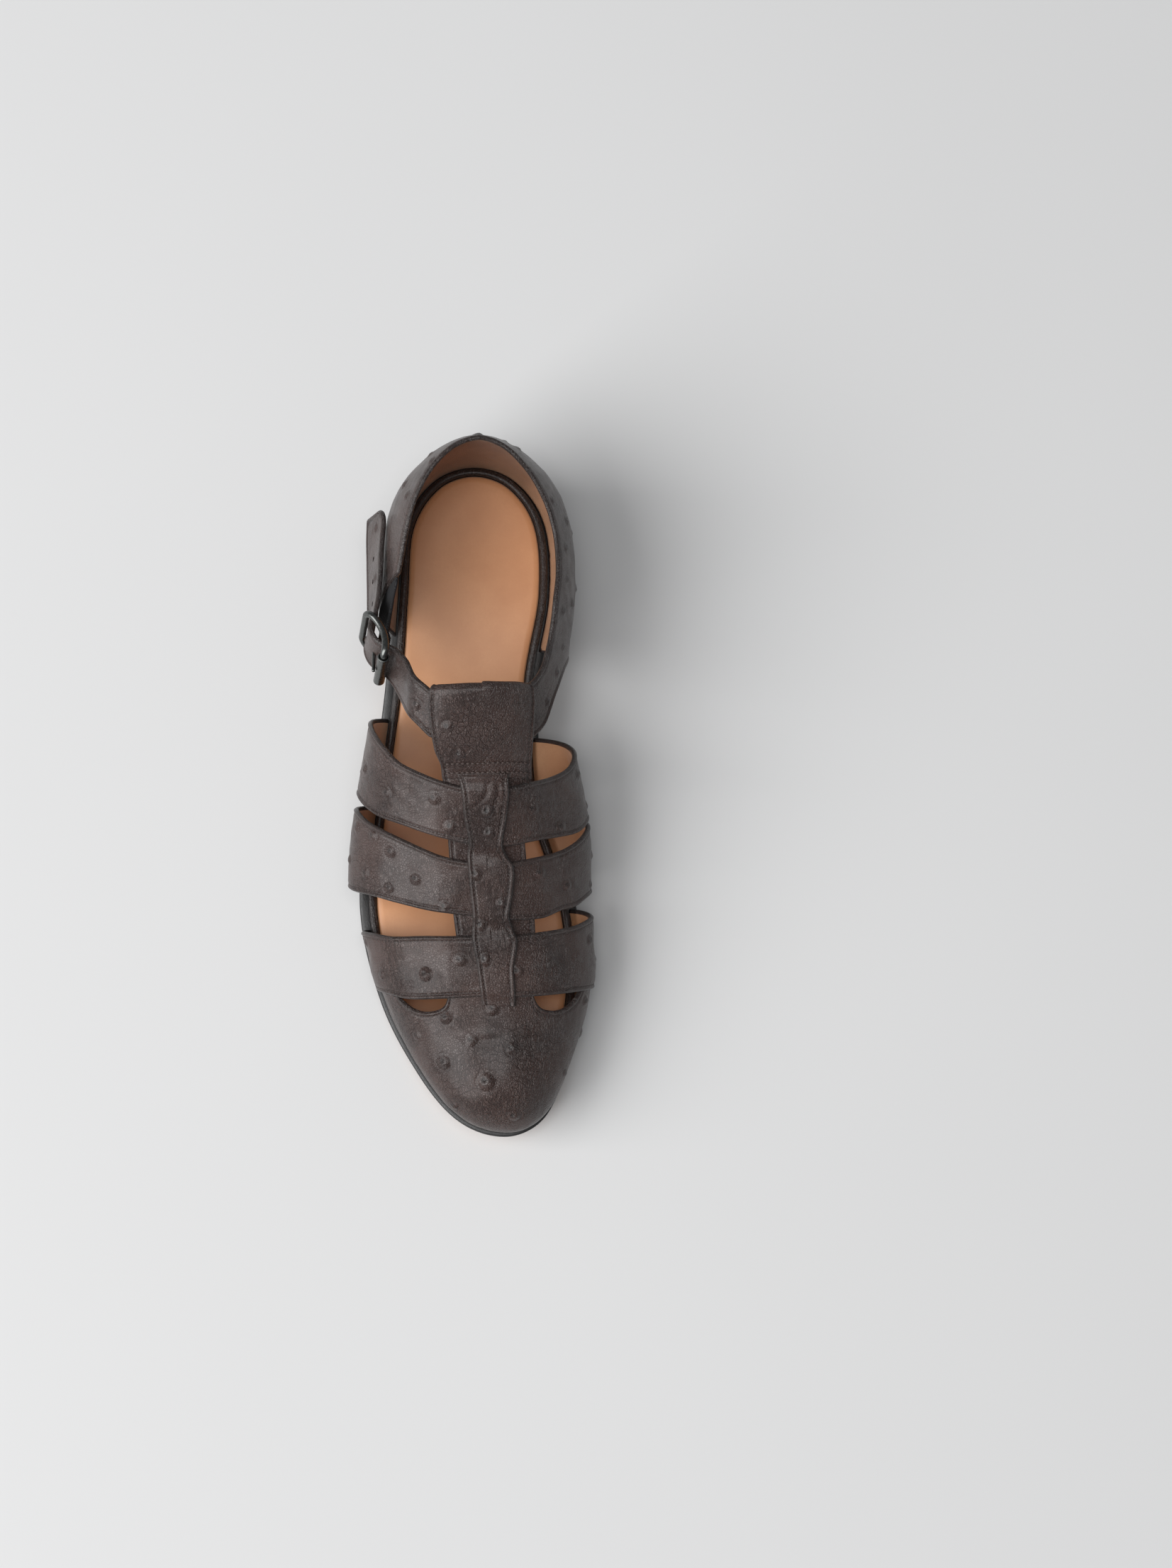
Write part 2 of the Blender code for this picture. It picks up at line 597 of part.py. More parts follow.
def build_upper(parts, cutters, pieces):
    upper = sheet("upper", toe_surface, lambda u, v: 0.0, lambda u, v: LEATHER, 10, 44, "brown", parts,
                  seam=True)
    for name, rows, lift in (("strap_a", STRAP_A, 0.0), ("strap_b", STRAP_B, 0.0), ("strap_c", STRAP_C, 1.0)):
        inner = cross_layer(lift)
        hide(sheet(name, cross_surface(rows), inner, lambda u, v, low=inner: low(u, v) + LEATHER,
                   4, 32, "brown", pieces))
    for name, rows, columns in (("under_strap", UNDER, 18), ("loop", LOOP, 26)):
        hide(sheet(name, path_surface(rows), lambda u, v: -UNDER_LEATHER / 2,
                   lambda u, v: UNDER_LEATHER / 2, columns, 5, "brown", pieces))
    low = lambda u, v: LEATHER * spline(STRIP, strip_station(u), 3)
    hide(sheet("strip", strip_surface, low, lambda u, v: low(u, v) + LEATHER, 36, 3, "brown", pieces))
    wrap = sheet("wrap", wrap_surface_maker(), lambda u, v: -LEATHER / 2, lambda u, v: LEATHER / 2,
                 5, 2 * (len(WRAP) + len(THREAD) - 1), "brown", pieces)
    hide(wrap)
    boolean(upper, "UNION", pieces)
    boolean(upper, "DIFFERENCE", prong("prong_clearance", PRONG + PRONG_CLEAR, cutters))


# Buckle
def half_width():
    return STRAP_WIDTH / 2 + STRAP_PLAY + WIRE


def frame_height(ahead):
    """Rise of the bowed frame over its centre bar."""
    return FRAME_BOW * (ahead / (ROLLER_AT if ahead > 0 else REAR_BAR_AT)) ** 2


def frame_line():
    """Closed line of the bowed frame, a rounded rectangle seen from outside."""
    half = half_width()
    corners = [
        (ROLLER_AT, -half, FRONT_CORNER, -90), (ROLLER_AT, half, FRONT_CORNER, 0),
        (-REAR_BAR_AT, half, REAR_CORNER, 90), (-REAR_BAR_AT, -half, REAR_CORNER, 180),
    ]
    points = []
    for ahead, up, radius, first in corners:
        middle_ahead = ahead - math.copysign(radius, ahead)
        middle_up = up - math.copysign(radius, up)
        for k in range(6):
            angle = math.radians(first + 18 * k)
            at = middle_ahead + radius * math.cos(angle)
            points.append(in_buckle(at, middle_up + radius * math.sin(angle), frame_height(at)))
        if ahead * up > 0:
            for share in ((0.75, 0.5, 0.25) if ahead > 0 else (0.25, 0.5, 0.75)):
                at = share * (ROLLER_AT - FRONT_CORNER) - (1 - share) * (REAR_BAR_AT - REAR_CORNER)
                points.append(in_buckle(at, up, frame_height(at)))
    return points


def prong_line(first):
    """Eye round the bar from a first angle, then the shank to the roller."""
    eye = WIRE + GAP + PRONG
    rest = FRAME_BOW + WIRE + GAP + ROLLER_WALL + GAP + PRONG
    points = []
    for k in range(15):
        angle = math.radians(first - (270 + first) * k / 14)
        points.append((eye * math.cos(angle), 0, eye * math.sin(angle)))
    for share in (0.35, 0.7, 1.02):
        points.append((ROLLER_AT * share, 0, eye + (rest - eye) * min(share, 1.0)))
    return [in_buckle(*point) for point in points]


def prong(name, radius, group):
    clears = radius > PRONG
    piece = rod(name, prong_line(-50 if clears else -95), radius, 10, False, "metal", group)
    if clears:
        hide(piece)
    return piece


def build_buckle(parts, cutters):
    frame = rod("buckle_frame", frame_line(), WIRE, 10, True, "metal", parts)
    bar = rod("buckle_bar", [in_buckle(0, -half_width(), 0), in_buckle(0, half_width(), 0)],
              WIRE * BAR_SHARE, 10, False, "metal", cutters)
    hide(bar)
    boolean(frame, "UNION", bar)
    reach = half_width() - WIRE - ROLLER_END
    ends = [in_buckle(ROLLER_AT, -reach, FRAME_BOW), in_buckle(ROLLER_AT, reach, FRAME_BOW)]
    bore_ends = [in_buckle(ROLLER_AT, -2 * reach, FRAME_BOW), in_buckle(ROLLER_AT, 2 * reach, FRAME_BOW)]
    roller = rod("buckle_roller", ends, WIRE + GAP + ROLLER_WALL, 16, False, "metal", parts)
    bore = rod("roller_bore", bore_ends, WIRE + GAP, 16, False, "metal", cutters)
    hide(bore)
    boolean(roller, "DIFFERENCE", bore)
    prong("buckle_prong", PRONG, parts)


def elastic_surface(u, v):
    """From the quarter's front edge, u 0, to the bar, u 1; v runs up."""
    share = ELASTIC_FROM + ELASTIC_SPAN * v
    low_station, _, high_station, high_lift, _ = WRAP[0]
    station = -(low_station + (high_station - low_station) * share) + ELASTIC_TUCK
    lift = high_lift * share
    points = [skin(station, lift, LEATHER / 2),
              skin(station + ELASTIC_LEAD, lift, LEATHER / 2 + ELASTIC_STANDOFF)]
    for ahead, out in reversed(STRETCH):
        points.append(in_buckle(ahead * ROLLER_AT, ELASTIC_WIDTH * (v - 0.5), out * ROLLER_AT))
    return curve_through(points, u * (len(points) - 1))


def build_elastic(parts, cutters):
    band = sheet("elastic", elastic_surface, lambda u, v: -ELASTIC / 2, lambda u, v: ELASTIC / 2,
                 14, 5, "black", parts)
    boolean(band, "DIFFERENCE", prong("elastic_notch", PRONG + PRONG_CLEAR, cutters))


def main():
    for obj in list(bpy.data.objects):
        bpy.data.objects.remove(obj, do_unlink=True)
    scene = bpy.context.scene
    groups = []
    for name in ("gurkha_sandal", "cutters", "upper_pieces"):
        group = bpy.data.collections.new(name)
        scene.collection.children.link(group)
        groups.append(group)
    parts, cutters, pieces = groups
    build_sole(parts, cutters)
    build_heel(parts, cutters)
    build_upper(parts, cutters, pieces)
    build_buckle(parts, cutters)
    build_elastic(parts, cutters)


main()
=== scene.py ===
"""Looks of the gurkha sandal, right shoe.

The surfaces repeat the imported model's own tables, in its frame: metres, +Z up, toe toward -Y,
medial side toward +X. Shoe coordinates are x across, a along from the back of the heel, z up.
"""

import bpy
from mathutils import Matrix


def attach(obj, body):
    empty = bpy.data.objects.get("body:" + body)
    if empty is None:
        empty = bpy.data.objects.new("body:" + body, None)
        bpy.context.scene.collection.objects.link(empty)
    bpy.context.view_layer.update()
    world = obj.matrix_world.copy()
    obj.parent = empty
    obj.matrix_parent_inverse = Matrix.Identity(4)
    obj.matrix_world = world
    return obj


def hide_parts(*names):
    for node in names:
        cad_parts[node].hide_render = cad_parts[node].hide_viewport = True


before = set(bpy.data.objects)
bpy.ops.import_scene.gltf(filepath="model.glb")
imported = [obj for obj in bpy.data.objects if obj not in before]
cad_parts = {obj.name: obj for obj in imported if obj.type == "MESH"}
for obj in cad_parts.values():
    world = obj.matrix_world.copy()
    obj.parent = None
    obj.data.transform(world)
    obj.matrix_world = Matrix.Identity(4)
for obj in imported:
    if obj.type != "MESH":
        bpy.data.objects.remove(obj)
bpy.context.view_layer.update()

import math
import random

import bpy
import numpy as np
from mathutils import Euler, Vector
from mathutils.bvhtree import BVHTree

# Sizes of the shoe
LENGTH = 0.290
BALL_WIDTH = 0.095
LAST_HEIGHT = 0.086
HEEL_HEIGHT = 0.016
TOP_PIECE = 0.006
OUTSOLE = 0.005
WELT = 0.0045
TOE_SPRING = 0.010
INSOLE = 0.003
RIM_HEIGHT = 0.0042
RIM_WIDTH = 0.0030
WELT_WIDTH = 0.009
WELT_PROUD = 0.0003
LEATHER = 0.0019
UNDER_LEATHER = 0.0016
GAP = 0.0003
SINK = 0.00024
FLARE = 0.007
HEEL_BACK = 0.033
HEEL_SET_IN = 0.0022
BREAST_AT = 0.0765
BREAST_HOLLOW = 0.0075
STRAP_WIDTH = 0.0218
STRAP_PLAY = 0.0005
WIRE = 0.00145
ROLLER_WALL = 0.0006
ROLLER_AT = 0.010
REAR_BAR_AT = 0.0112
FRAME_BOW = 0.0030
FRONT_CORNER = 0.0026
REAR_CORNER = 0.0042
PRONG = 0.0008
ELASTIC = 0.0014
ELASTIC_WIDTH = 0.018
ELASTIC_FROM, ELASTIC_SPAN = 0.36, 0.60
ELASTIC_TUCK, ELASTIC_LEAD, ELASTIC_STANDOFF = 0.0022, 0.012, 0.0004
ROLLER_END = 0.0012
RIDGE_BACK, RIDGE_TOE, RIDGE_SOFT = 0.12, 0.90, 0.035
TOE_CROWDING = 1.35

# Welt outline: station, lateral and medial edge as shares of the ball width
OUTLINE = [
    (0.0, 0.020, 0.020), (0.1, -0.185, 0.225), (0.2, -0.325, 0.360), (0.3, -0.360, 0.375),
    (0.4, -0.400, 0.300), (0.5, -0.472, 0.315), (0.6, -0.526, 0.447), (0.7, -0.442, 0.468),
    (0.8, -0.280, 0.381), (0.9, -0.105, 0.274), (1.0, 0.105, 0.105),
]
# Underside: share of length, share of heel height, share of toe spring
RIDE = [
    (0.00, 1.0, 0.0), (0.10, 1.0, 0.0), (0.24, 0.97, 0.0), (0.36, 0.68, 0.0), (0.48, 0.28, 0.0),
    (0.58, 0.05, 0.0), (0.62, 0.0, 0.0), (0.72, 0.0, 0.0), (0.80, 0.0, 0.10), (0.88, 0.0, 0.34),
    (1.00, 0.0, 1.0),
]
FEATHER = [(0.0, 0.034), (0.3, 0.034), (0.5, 0.037), (0.7, 0.040), (0.85, 0.047), (1.0, 0.053)]
UNDERCUT = [(0.0, 0.004), (0.3, 0.008), (0.4, 0.028), (0.5, 0.022), (0.62, 0.010), (1.0, 0.008)]
RIDGE = [
    (0.12, 0.010, 1.000), (0.25, 0.010, 0.953), (0.36, 0.010, 0.837), (0.45, 0.015, 0.727),
    (0.55, 0.020, 0.616), (0.65, 0.030, 0.512), (0.75, 0.045, 0.413), (0.85, 0.070, 0.320),
    (0.90, 0.080, 0.279),
]
# Cross-section: station, lateral and medial squareness, lateral and medial swell, height of swell
FORM = [
    (0.00, 2.9, 2.9, 0.042, 0.042, 0.33), (0.10, 2.4, 2.1, 0.047, 0.062, 0.33),
    (0.20, 2.1, 1.65, 0.068, 0.100, 0.34), (0.30, 2.3, 1.8, 0.074, 0.115, 0.35),
    (0.38, 2.6, 2.2, 0.076, 0.130, 0.38), (0.45, 2.6, 2.6, 0.079, 0.160, 0.42),
    (0.52, 2.5, 2.5, 0.095, 0.187, 0.42), (0.59, 2.4, 2.4, 0.079, 0.100, 0.37),
    (0.63, 2.4, 2.4, 0.036, 0.080, 0.35), (0.70, 2.4, 2.4, 0.009, 0.053, 0.33),
    (0.80, 2.3, 2.3, 0.014, 0.036, 0.33), (0.90, 2.3, 2.3, 0.020, 0.026, 0.33),
    (1.00, 2.3, 2.3, 0.022, 0.022, 0.33),
]
# Cross straps: turn round the foot, station of the rear edge, station of the front edge
STRAP_A = [
    (0.00, 0.424, 0.490), (0.16, 0.435, 0.500), (0.30, 0.450, 0.513), (0.43, 0.466, 0.525),
    (0.55, 0.481, 0.533), (0.71, 0.493, 0.543), (0.90, 0.504, 0.553), (1.00, 0.506, 0.556),
    (1.16, 0.505, 0.555), (1.34, 0.500, 0.550), (1.50, 0.494, 0.546), (1.64, 0.484, 0.540),
    (1.78, 0.468, 0.527), (2.00, 0.445, 0.510),
]
STRAP_B = [
    (0.00, 0.505, 0.578), (0.21, 0.515, 0.590), (0.38, 0.530, 0.598), (0.51, 0.541, 0.606),
    (0.68, 0.555, 0.615), (0.85, 0.567, 0.621), (1.00, 0.572, 0.625), (1.15, 0.570, 0.626),
    (1.33, 0.565, 0.624), (1.49, 0.559, 0.616), (1.61, 0.550, 0.611), (1.75, 0.535, 0.600),
    (2.00, 0.512, 0.585),
]
STRAP_C = [
    (0.00, 0.626, 0.690), (0.28, 0.634, 0.700), (0.45, 0.640, 0.708), (0.70, 0.642, 0.711),
    (1.00, 0.643, 0.711), (1.30, 0.638, 0.708), (1.55, 0.632, 0.703), (1.75, 0.622, 0.698),
    (2.00, 0.607, 0.690),
]
TOE_EDGE = [
    (0.00, 0.672), (0.25, 0.680), (0.36, 0.708), (0.48, 0.723), (0.62, 0.726), (0.72, 0.718),
    (0.80, 0.690), (1.00, 0.680), (1.20, 0.690), (1.28, 0.718), (1.38, 0.726), (1.52, 0.723),
    (1.64, 0.708), (1.75, 0.680), (2.00, 0.672),
]
CROSSING = [(0.00, 0.0), (0.62, 0.0), (0.78, 1.0), (1.34, 1.0), (1.50, 0.0), (2.00, 0.0)]
# Under strap and loop: place on the path, station, medial turn, lateral turn, layer
UNDER = [
    (0.00, 0.700, 1.24, 0.87, 0.62), (0.30, 0.630, 1.28, 0.85, 0.62), (0.60, 0.555, 1.26, 0.84, 0.62),
    (0.80, 0.500, 1.32, 0.81, 0.62), (1.00, 0.438, 1.34, 0.76, 0.62),
]
LOOP = [
    (0.00, 0.448, 1.335, 0.77, 0.48), (0.14, 0.4230, 1.365, 0.735, 0.50),
    (0.20, 0.4199, 1.370, 0.73, 0.86), (0.26, 0.4186, 1.370, 0.73, 1.725),
    (0.32, 0.4199, 1.370, 0.73, 2.59), (0.38, 0.4230, 1.370, 0.73, 2.95),
    (0.50, 0.4340, 1.370, 0.73, 2.95), (0.78, 0.4700, 1.340, 0.77, 2.80),
    (0.89, 0.4840, 1.340, 0.80, 1.80), (1.00, 0.4970, 1.340, 0.81, 1.38),
]
STRIP = [
    (0.492, 0.88, 1.17, 0.62), (0.501, 0.90, 1.165, 0.75), (0.508, 0.91, 1.16, 1.28),
    (0.530, 0.92, 1.13, 1.30), (0.553, 0.94, 1.09, 1.25), (0.563, 0.93, 1.11, 0.78),
    (0.574, 0.93, 1.15, 1.25), (0.600, 0.935, 1.13, 1.30), (0.622, 0.94, 1.10, 1.25),
    (0.634, 0.935, 1.12, 0.72), (0.646, 0.93, 1.14, 1.25), (0.675, 0.94, 1.11, 1.30),
    (0.704, 0.94, 1.11, 1.25), (0.716, 0.94, 1.11, 0.70), (0.722, 0.94, 1.11, 0.62),
]
# Quarter and ankle strap: signed station and lift of lower and of upper edge, layer
WRAP = [
    (-0.342, 0.00, -0.300, 0.380, 0.0), (-0.300, 0.00, -0.262, 0.420, 0.0),
    (-0.250, 0.00, -0.225, 0.455, 0.0), (-0.200, 0.00, -0.185, 0.475, 0.0),
    (-0.150, 0.00, -0.140, 0.475, 0.0), (-0.100, 0.00, -0.095, 0.465, 0.0),
    (-0.050, 0.00, -0.050, 0.440, 0.0), (0.000, 0.00, 0.000, 0.420, 0.0),
    (0.050, 0.00, 0.050, 0.440, 0.0), (0.100, 0.00, 0.095, 0.465, 0.0),
    (0.150, 0.00, 0.140, 0.475, 0.0), (0.200, 0.00, 0.185, 0.475, 0.0),
    (0.250, 0.00, 0.225, 0.455, 0.0), (0.300, 0.00, 0.262, 0.435, 0.0),
    (0.338, 0.00, 0.298, 0.430, 0.0), (0.362, 0.00, 0.330, 0.440, 0.0),
    (0.376, 0.15, 0.355, 0.440, 0.0), (0.395, 0.29, 0.378, 0.455, 0.0),
    (0.423, 0.41, 0.398, 0.500, 0.1), (0.450, 0.52, 0.412, 0.580, 0.4),
    (0.463, 0.64, 0.420, 0.680, 0.75), (0.467, 0.80, 0.424, 0.820, 0.75),
    (0.467, 1.00, 0.425, 1.000, 0.75), (0.465, 1.15, 0.425, 1.120, 0.75),
    (0.460, 1.27, 0.424, 1.240, 0.80), (0.443, 1.40, 0.408, 1.390, 0.8),
]
# Strap through the buckle, in roller distances: lower and upper edge ahead of the bar, lower and upper
# edge off its plane, rise; width as share of the strap
THREAD = [
    (2.25, 1.55, -0.290, -0.490, 0.22, 1.0), (1.55, 1.05, -0.270, -0.380, 0.08, 1.0),
    (1.05, 0.80, -0.180, -0.300, 0.0, 1.0), (0.68, 0.62, -0.020, -0.120, 0.0, 1.0),
    (0.38, 0.36, 0.200, 0.150, 0.0, 1.0), (0.10, 0.10, 0.330, 0.310, 0.0, 1.0),
    (-0.25, -0.25, 0.365, 0.350, 0.0, 0.99), (-0.55, -0.55, 0.310, 0.300, 0.0, 0.95),
    (-0.80, -0.80, 0.150, 0.130, 0.0, 0.93), (-1.00, -1.00, -0.050, -0.080, 0.0, 0.93),
    (-1.25, -1.25, -0.130, -0.200, 0.0, 0.96), (-1.75, -1.75, -0.260, -0.480, 0.0, 1.0),
    (-2.58, -2.58, -0.540, -0.850, 0.0, 1.0), (-3.55, -3.55, -0.870, -1.245, 0.0, 1.0),
    (-4.47, -4.45, -1.180, -1.620, 0.0, 1.0), (-5.05, -4.95, -1.370, -1.850, 0.0, 1.0),
    (-5.60, -5.30, -1.560, -1.970, 0.0, 0.99), (-6.10, -5.60, -1.750, -2.010, 0.0, 0.93),
    (-6.45, -5.80, -1.880, -2.010, 0.0, 0.76),
]
STRETCH = [(0.15, -0.270), (-0.20, -0.300), (-0.60, -0.500), (-1.10, -0.780)]
BUCKLE_AT = (-0.423, 0.3055, 0.493)
BUCKLE_AHEAD = np.array(Vector((0.315, -0.911, 0.267)).normalized())
BUCKLE_UP = np.array((0.091, 0.308, 0.947))

# Pins of the heel's leather top piece: share along the heel, share across; and their size
PIN_PLACES = [(u, v) for v in (0.06, 0.94) for u in (0.60, 0.66, 0.72, 0.78, 0.84, 0.90, 0.96)]
PIN_PLACES += [(u, v) for v in (0.20, 0.80) for u in (0.64, 0.93)]
PIN_INSET, PIN_RADIUS = 0.0012, 0.00085
# Rows of stitches across the sole ahead of the breast
WAIST_ROWS = (0.0028, 0.0050)

# Camera
CAMERA_AT = Vector((-0.0560, -0.3020, 1.3098))
CAMERA_TURN = Euler([math.radians(angle) for angle in (8.67, -4.36, -1.54)])
LENS, SENSOR = 70.0, 36.0
PICTURE = (1653, 2212)

# Quill bumps by their pixel in the photograph: x, y, size
QUILLS = {
    "toe_piece": [
        (629, 1435, 1.0), (587, 1461, 0.9), (695, 1423, 1.0), (665, 1467, 1.0), (722, 1479, 1.0),
        (626, 1498, 1.2), (686, 1526, 1.4), (725, 1574, 1.0), (640, 1560, 0.8),
    ],
    "strap_c": [(538, 1376, 0.8), (600, 1374, 1.1), (649, 1354, 1.0), (730, 1370, 1.0), (554, 1324, 0.8)],
    "strap_b": [
        (525, 1179, 0.9), (551, 1201, 1.0), (515, 1232, 0.9), (549, 1252, 0.9), (586, 1240, 1.0),
        (627, 1279, 0.9), (762, 1231, 1.0), (800, 1249, 0.9),
    ],
    "strap_a": [
        (514, 1084, 0.9), (545, 1118, 0.9), (612, 1126, 1.0), (635, 1166, 1.0), (752, 1141, 1.0),
        (791, 1166, 1.0), (727, 1113, 0.9),
    ],
    "central_strip": [
        (684, 1354, 1.0), (721, 1321, 0.8), (678, 1305, 1.0), (671, 1233, 1.0), (707, 1274, 0.8),
        (665, 1287, 0.9), (688, 1145, 1.1), (690, 1175, 0.9),
    ],
    "loop": [(631, 1025, 0.9), (648, 1064, 0.9)],
    "quarter_strap": [
        (587, 993, 0.9), (605, 1038, 0.9), (773, 990, 0.8), (573, 698, 0.9), (745, 666, 1.0),
        (760, 725, 1.0), (778, 738, 0.9), (779, 705, 0.9), (781, 781, 1.0), (798, 772, 0.9),
        (785, 818, 0.9), (800, 817, 0.8), (529, 745, 0.9),
    ],
}
# Pixel rows of the two heavy rows of stitches at the loop's front
HEAVY_ROWS = (1076, 1089)
# Holes of the tail behind the centre bar, their radius and how far the punch reaches each way
TAIL_HOLES = (0.0101, 0.0202, 0.0303, 0.0406)
HOLE_RADIUS = 0.00105
HOLE_REACH = 0.0023
# Quill bumps; those that the photograph hides face the camera less than the limit and stand apart
QUILL_RADIUS = 0.0019
QUILL_HEIGHT = 0.00085
HIDDEN_QUILLS = 46
HIDDEN_FACING = 0.546
HIDDEN_APART = 0.0115
# The way the knobs lean
QUILL_LEAN = (0.80, -0.50, -0.33)

# Steps along and round the last over which its slope is taken
NEAR_STATION, NEAR_TURN = 0.002, 0.03
EDGE_STEPS = (0.0, 0.00012, 0.0003, 0.00055, 0.00085, 0.0012, 0.0016, 0.0020, 0.0024, 0.0029)
STITCH_COLUMN = 7


# Curves and the last
def spline(rows, at, column):
    """Smooth values of one table column, the first column being the place."""
    x = np.array([row[0] for row in rows], float)
    y = np.array([row[column] for row in rows], float)
    at = np.clip(np.asarray(at, float), x[0], x[-1])
    slope = np.empty(len(x))
    slope[1:-1] = (y[2:] - y[:-2]) / (x[2:] - x[:-2])
    slope[0] = (y[1] - y[0]) / (x[1] - x[0])
    slope[-1] = (y[-1] - y[-2]) / (x[-1] - x[-2])
    k = np.clip(np.searchsorted(x, at, side="left") - 1, 0, len(x) - 2)
    width = x[k + 1] - x[k]
    t = (at - x[k]) / width
    return ((2 * t**3 - 3 * t**2 + 1) * y[k] + (t**3 - 2 * t**2 + t) * width * slope[k]
            + (3 * t**2 - 2 * t**3) * y[k + 1] + (t**3 - t**2) * width * slope[k + 1])


def straight(rows, at, column):
    return np.interp(at, [row[0] for row in rows], [row[column] for row in rows])


def along(station):
    return LENGTH * (1 - np.cos(np.pi * station)) / 2


def place(x, a, z):
    return np.stack(np.broadcast_arrays(x, HEEL_BACK - a, z), -1)


def underside(a):
    share = np.asarray(a) / LENGTH
    return np.maximum(HEEL_HEIGHT * spline(RIDE, share, 1) + TOE_SPRING * spline(RIDE, share, 2), 0.0)


def welt_floor(a):
    return underside(a) + OUTSOLE + GAP


def deck(a):
    return welt_floor(a) + WELT + GAP


def welt_edge(station, medial):
    past = (station < 0.0) | (station > 1.0)
    station = np.where(station < 0.0, -station, np.where(station > 1.0, 2 - station, station))
    medial = np.where(past, ~medial, medial)
    x = BALL_WIDTH * np.where(medial, spline(OUTLINE, station, 2), spline(OUTLINE, station, 1))
    return np.stack([x, along(station)], -1)


def outline_point(station, medial, inset):
    """Points (x, a) of the welt outline moved inward."""
    station = np.asarray(station, float)
    medial = np.broadcast_to(np.asarray(medial, bool), station.shape)
    step = welt_edge(station + 0.002, medial) - welt_edge(station - 0.002, medial)
    outward = np.stack([step[..., 1], -step[..., 0]], -1) * np.where(medial, 1.0, -1.0)[..., None]
    outward /= np.linalg.norm(outward, axis=-1, keepdims=True)
    return welt_edge(station, medial) - outward * np.asarray(inset)[..., None]


def soft_clamp(value, low, high, soft):
    def above(v):
        return soft * np.log1p(np.exp(-np.abs(v) / soft)) + np.maximum(v, 0.0)

    value = low + above(value - low)
    return high - above(high - value)


def last_point(station, turn):
    """Points on the last: turn 0 is the lateral feather, 1 the ridge, 2 the medial feather."""
    station, turn = np.broadcast_arrays(np.asarray(station, float), np.asarray(turn, float))
    past = (station < 0.0) | (station > 1.0)
    turn = np.clip(np.where(past, 2 - turn, turn), 0.0, 2.0)
    station = np.where(station < 0.0, -station, np.where(station > 1.0, 2 - station, station))
    medial = turn > 1.0
    lift = np.where(medial, 2 - turn, turn)
    foot = outline_point(station, medial, BALL_WIDTH * spline(FEATHER, station, 1))
    share = soft_clamp(foot[..., 1] / LENGTH, RIDGE_BACK, RIDGE_TOE, RIDGE_SOFT)
    crest = np.stack([BALL_WIDTH * spline(RIDGE, share, 1), share * LENGTH], -1)
    crest_z = deck(crest[..., 1]) + LAST_HEIGHT * spline(RIDGE, share, 2)
    square = np.where(medial, spline(FORM, station, 2), spline(FORM, station, 1))
    swell = BALL_WIDTH * np.where(medial, spline(FORM, station, 4), spline(FORM, station, 3))
    peak = spline(FORM, station, 5)
    power = (1 - peak) / peak
    height = np.sin(lift * np.pi / 2) ** (2 / square)
    inward = 1 - np.maximum(np.cos(lift * np.pi / 2), 0.0) ** (2 / square)
    reach = foot - crest
    bulge = swell * height * (1 - height) ** power / (peak * (1 - peak) ** power)
    size = np.linalg.norm(reach, axis=-1, keepdims=True)
    at = crest + reach * (1 - inward)[..., None] + reach / size * bulge[..., None]
    base = deck(foot[..., 1])
    return place(at[..., 0], at[..., 1], base + (crest_z - base) * height)


def level_at_welt(at, normal):
    """Unit normals, laid level where the surface meets the welt."""
    normal = normal / np.maximum(np.linalg.norm(normal, axis=-1, keepdims=True), 1e-15)
    rise = np.clip((at[..., 2] - deck(HEEL_BACK - at[..., 1])) / FLARE, 0.0, 1.0)
    normal[..., 2] *= rise
    return normal / np.maximum(np.linalg.norm(normal, axis=-1, keepdims=True), 1e-15)


def skin(station, turn, offset):
    """Points at a distance off the last."""
    station, turn = np.broadcast_arrays(np.asarray(station, float), np.asarray(turn, float))
    across = last_point(station + NEAR_STATION, turn) - last_point(station - NEAR_STATION, turn)
    up = last_point(station, turn + NEAR_TURN) - last_point(station, turn - NEAR_TURN)
    at = last_point(station, turn)
    return at + level_at_welt(at, np.cross(across, up)) * np.asarray(offset)[..., None]


def grid_normals(points, flip, fold):
    """Normals of a grid of points, evened out over a few neighbours."""
    if fold:
        points = np.concatenate([points, points[-2:-6:-1, ::-1]])
    normal = np.cross(np.gradient(points, axis=0), np.gradient(points, axis=1)) * flip
    normal /= np.maximum(np.linalg.norm(normal, axis=-1, keepdims=True), 1e-15)
    for _ in range(5):
        for axis in (0, 1):
            padded = np.pad(normal, [(1, 1) if k == axis else (0, 0) for k in range(3)], mode="edge")
            before = padded[:-2] if axis == 0 else padded[:, :-2]
            after = padded[2:] if axis == 0 else padded[:, 2:]
            normal = (before + normal + after) / 3
    if fold:
        points, normal = points[:-4], normal[:-4]
    return level_at_welt(points, normal)


# Surfaces of the upper's pieces
def toe_surface(u, v):
    rear = spline(TOE_EDGE, 2 * v, 1)
    left = np.sign(1 - u) * np.abs(1 - u) ** TOE_CROWDING
    return last_point(rear + (1 - rear) * (1 - left), 2 * v)


def cross_surface(rows):
    def surface(u, v):
        rear, front = spline(rows, 2 * v, 1), spline(rows, 2 * v, 2)
        return last_point(rear + (front - rear) * u, 2 * v)
    return surface


def cross_layer(front_lift):
    def low(u, v):
        over = np.maximum(straight(CROSSING, 2 * v, 1), front_lift * np.clip((u - 0.35) / 0.3, 0.0, 1.0))
        return (UNDER_LEATHER - SINK) * over
    return low


def path_surface(rows):
    def surface(u, v):
        turn = spline(rows, v, 2) + (spline(rows, v, 3) - spline(rows, v, 2)) * u
        return skin(spline(rows, v, 1), turn, UNDER_LEATHER * spline(rows, v, 4))
    return surface


def strip_station(v):
    return STRIP[0][0] + (STRIP[-1][0] - STRIP[0][0]) * v


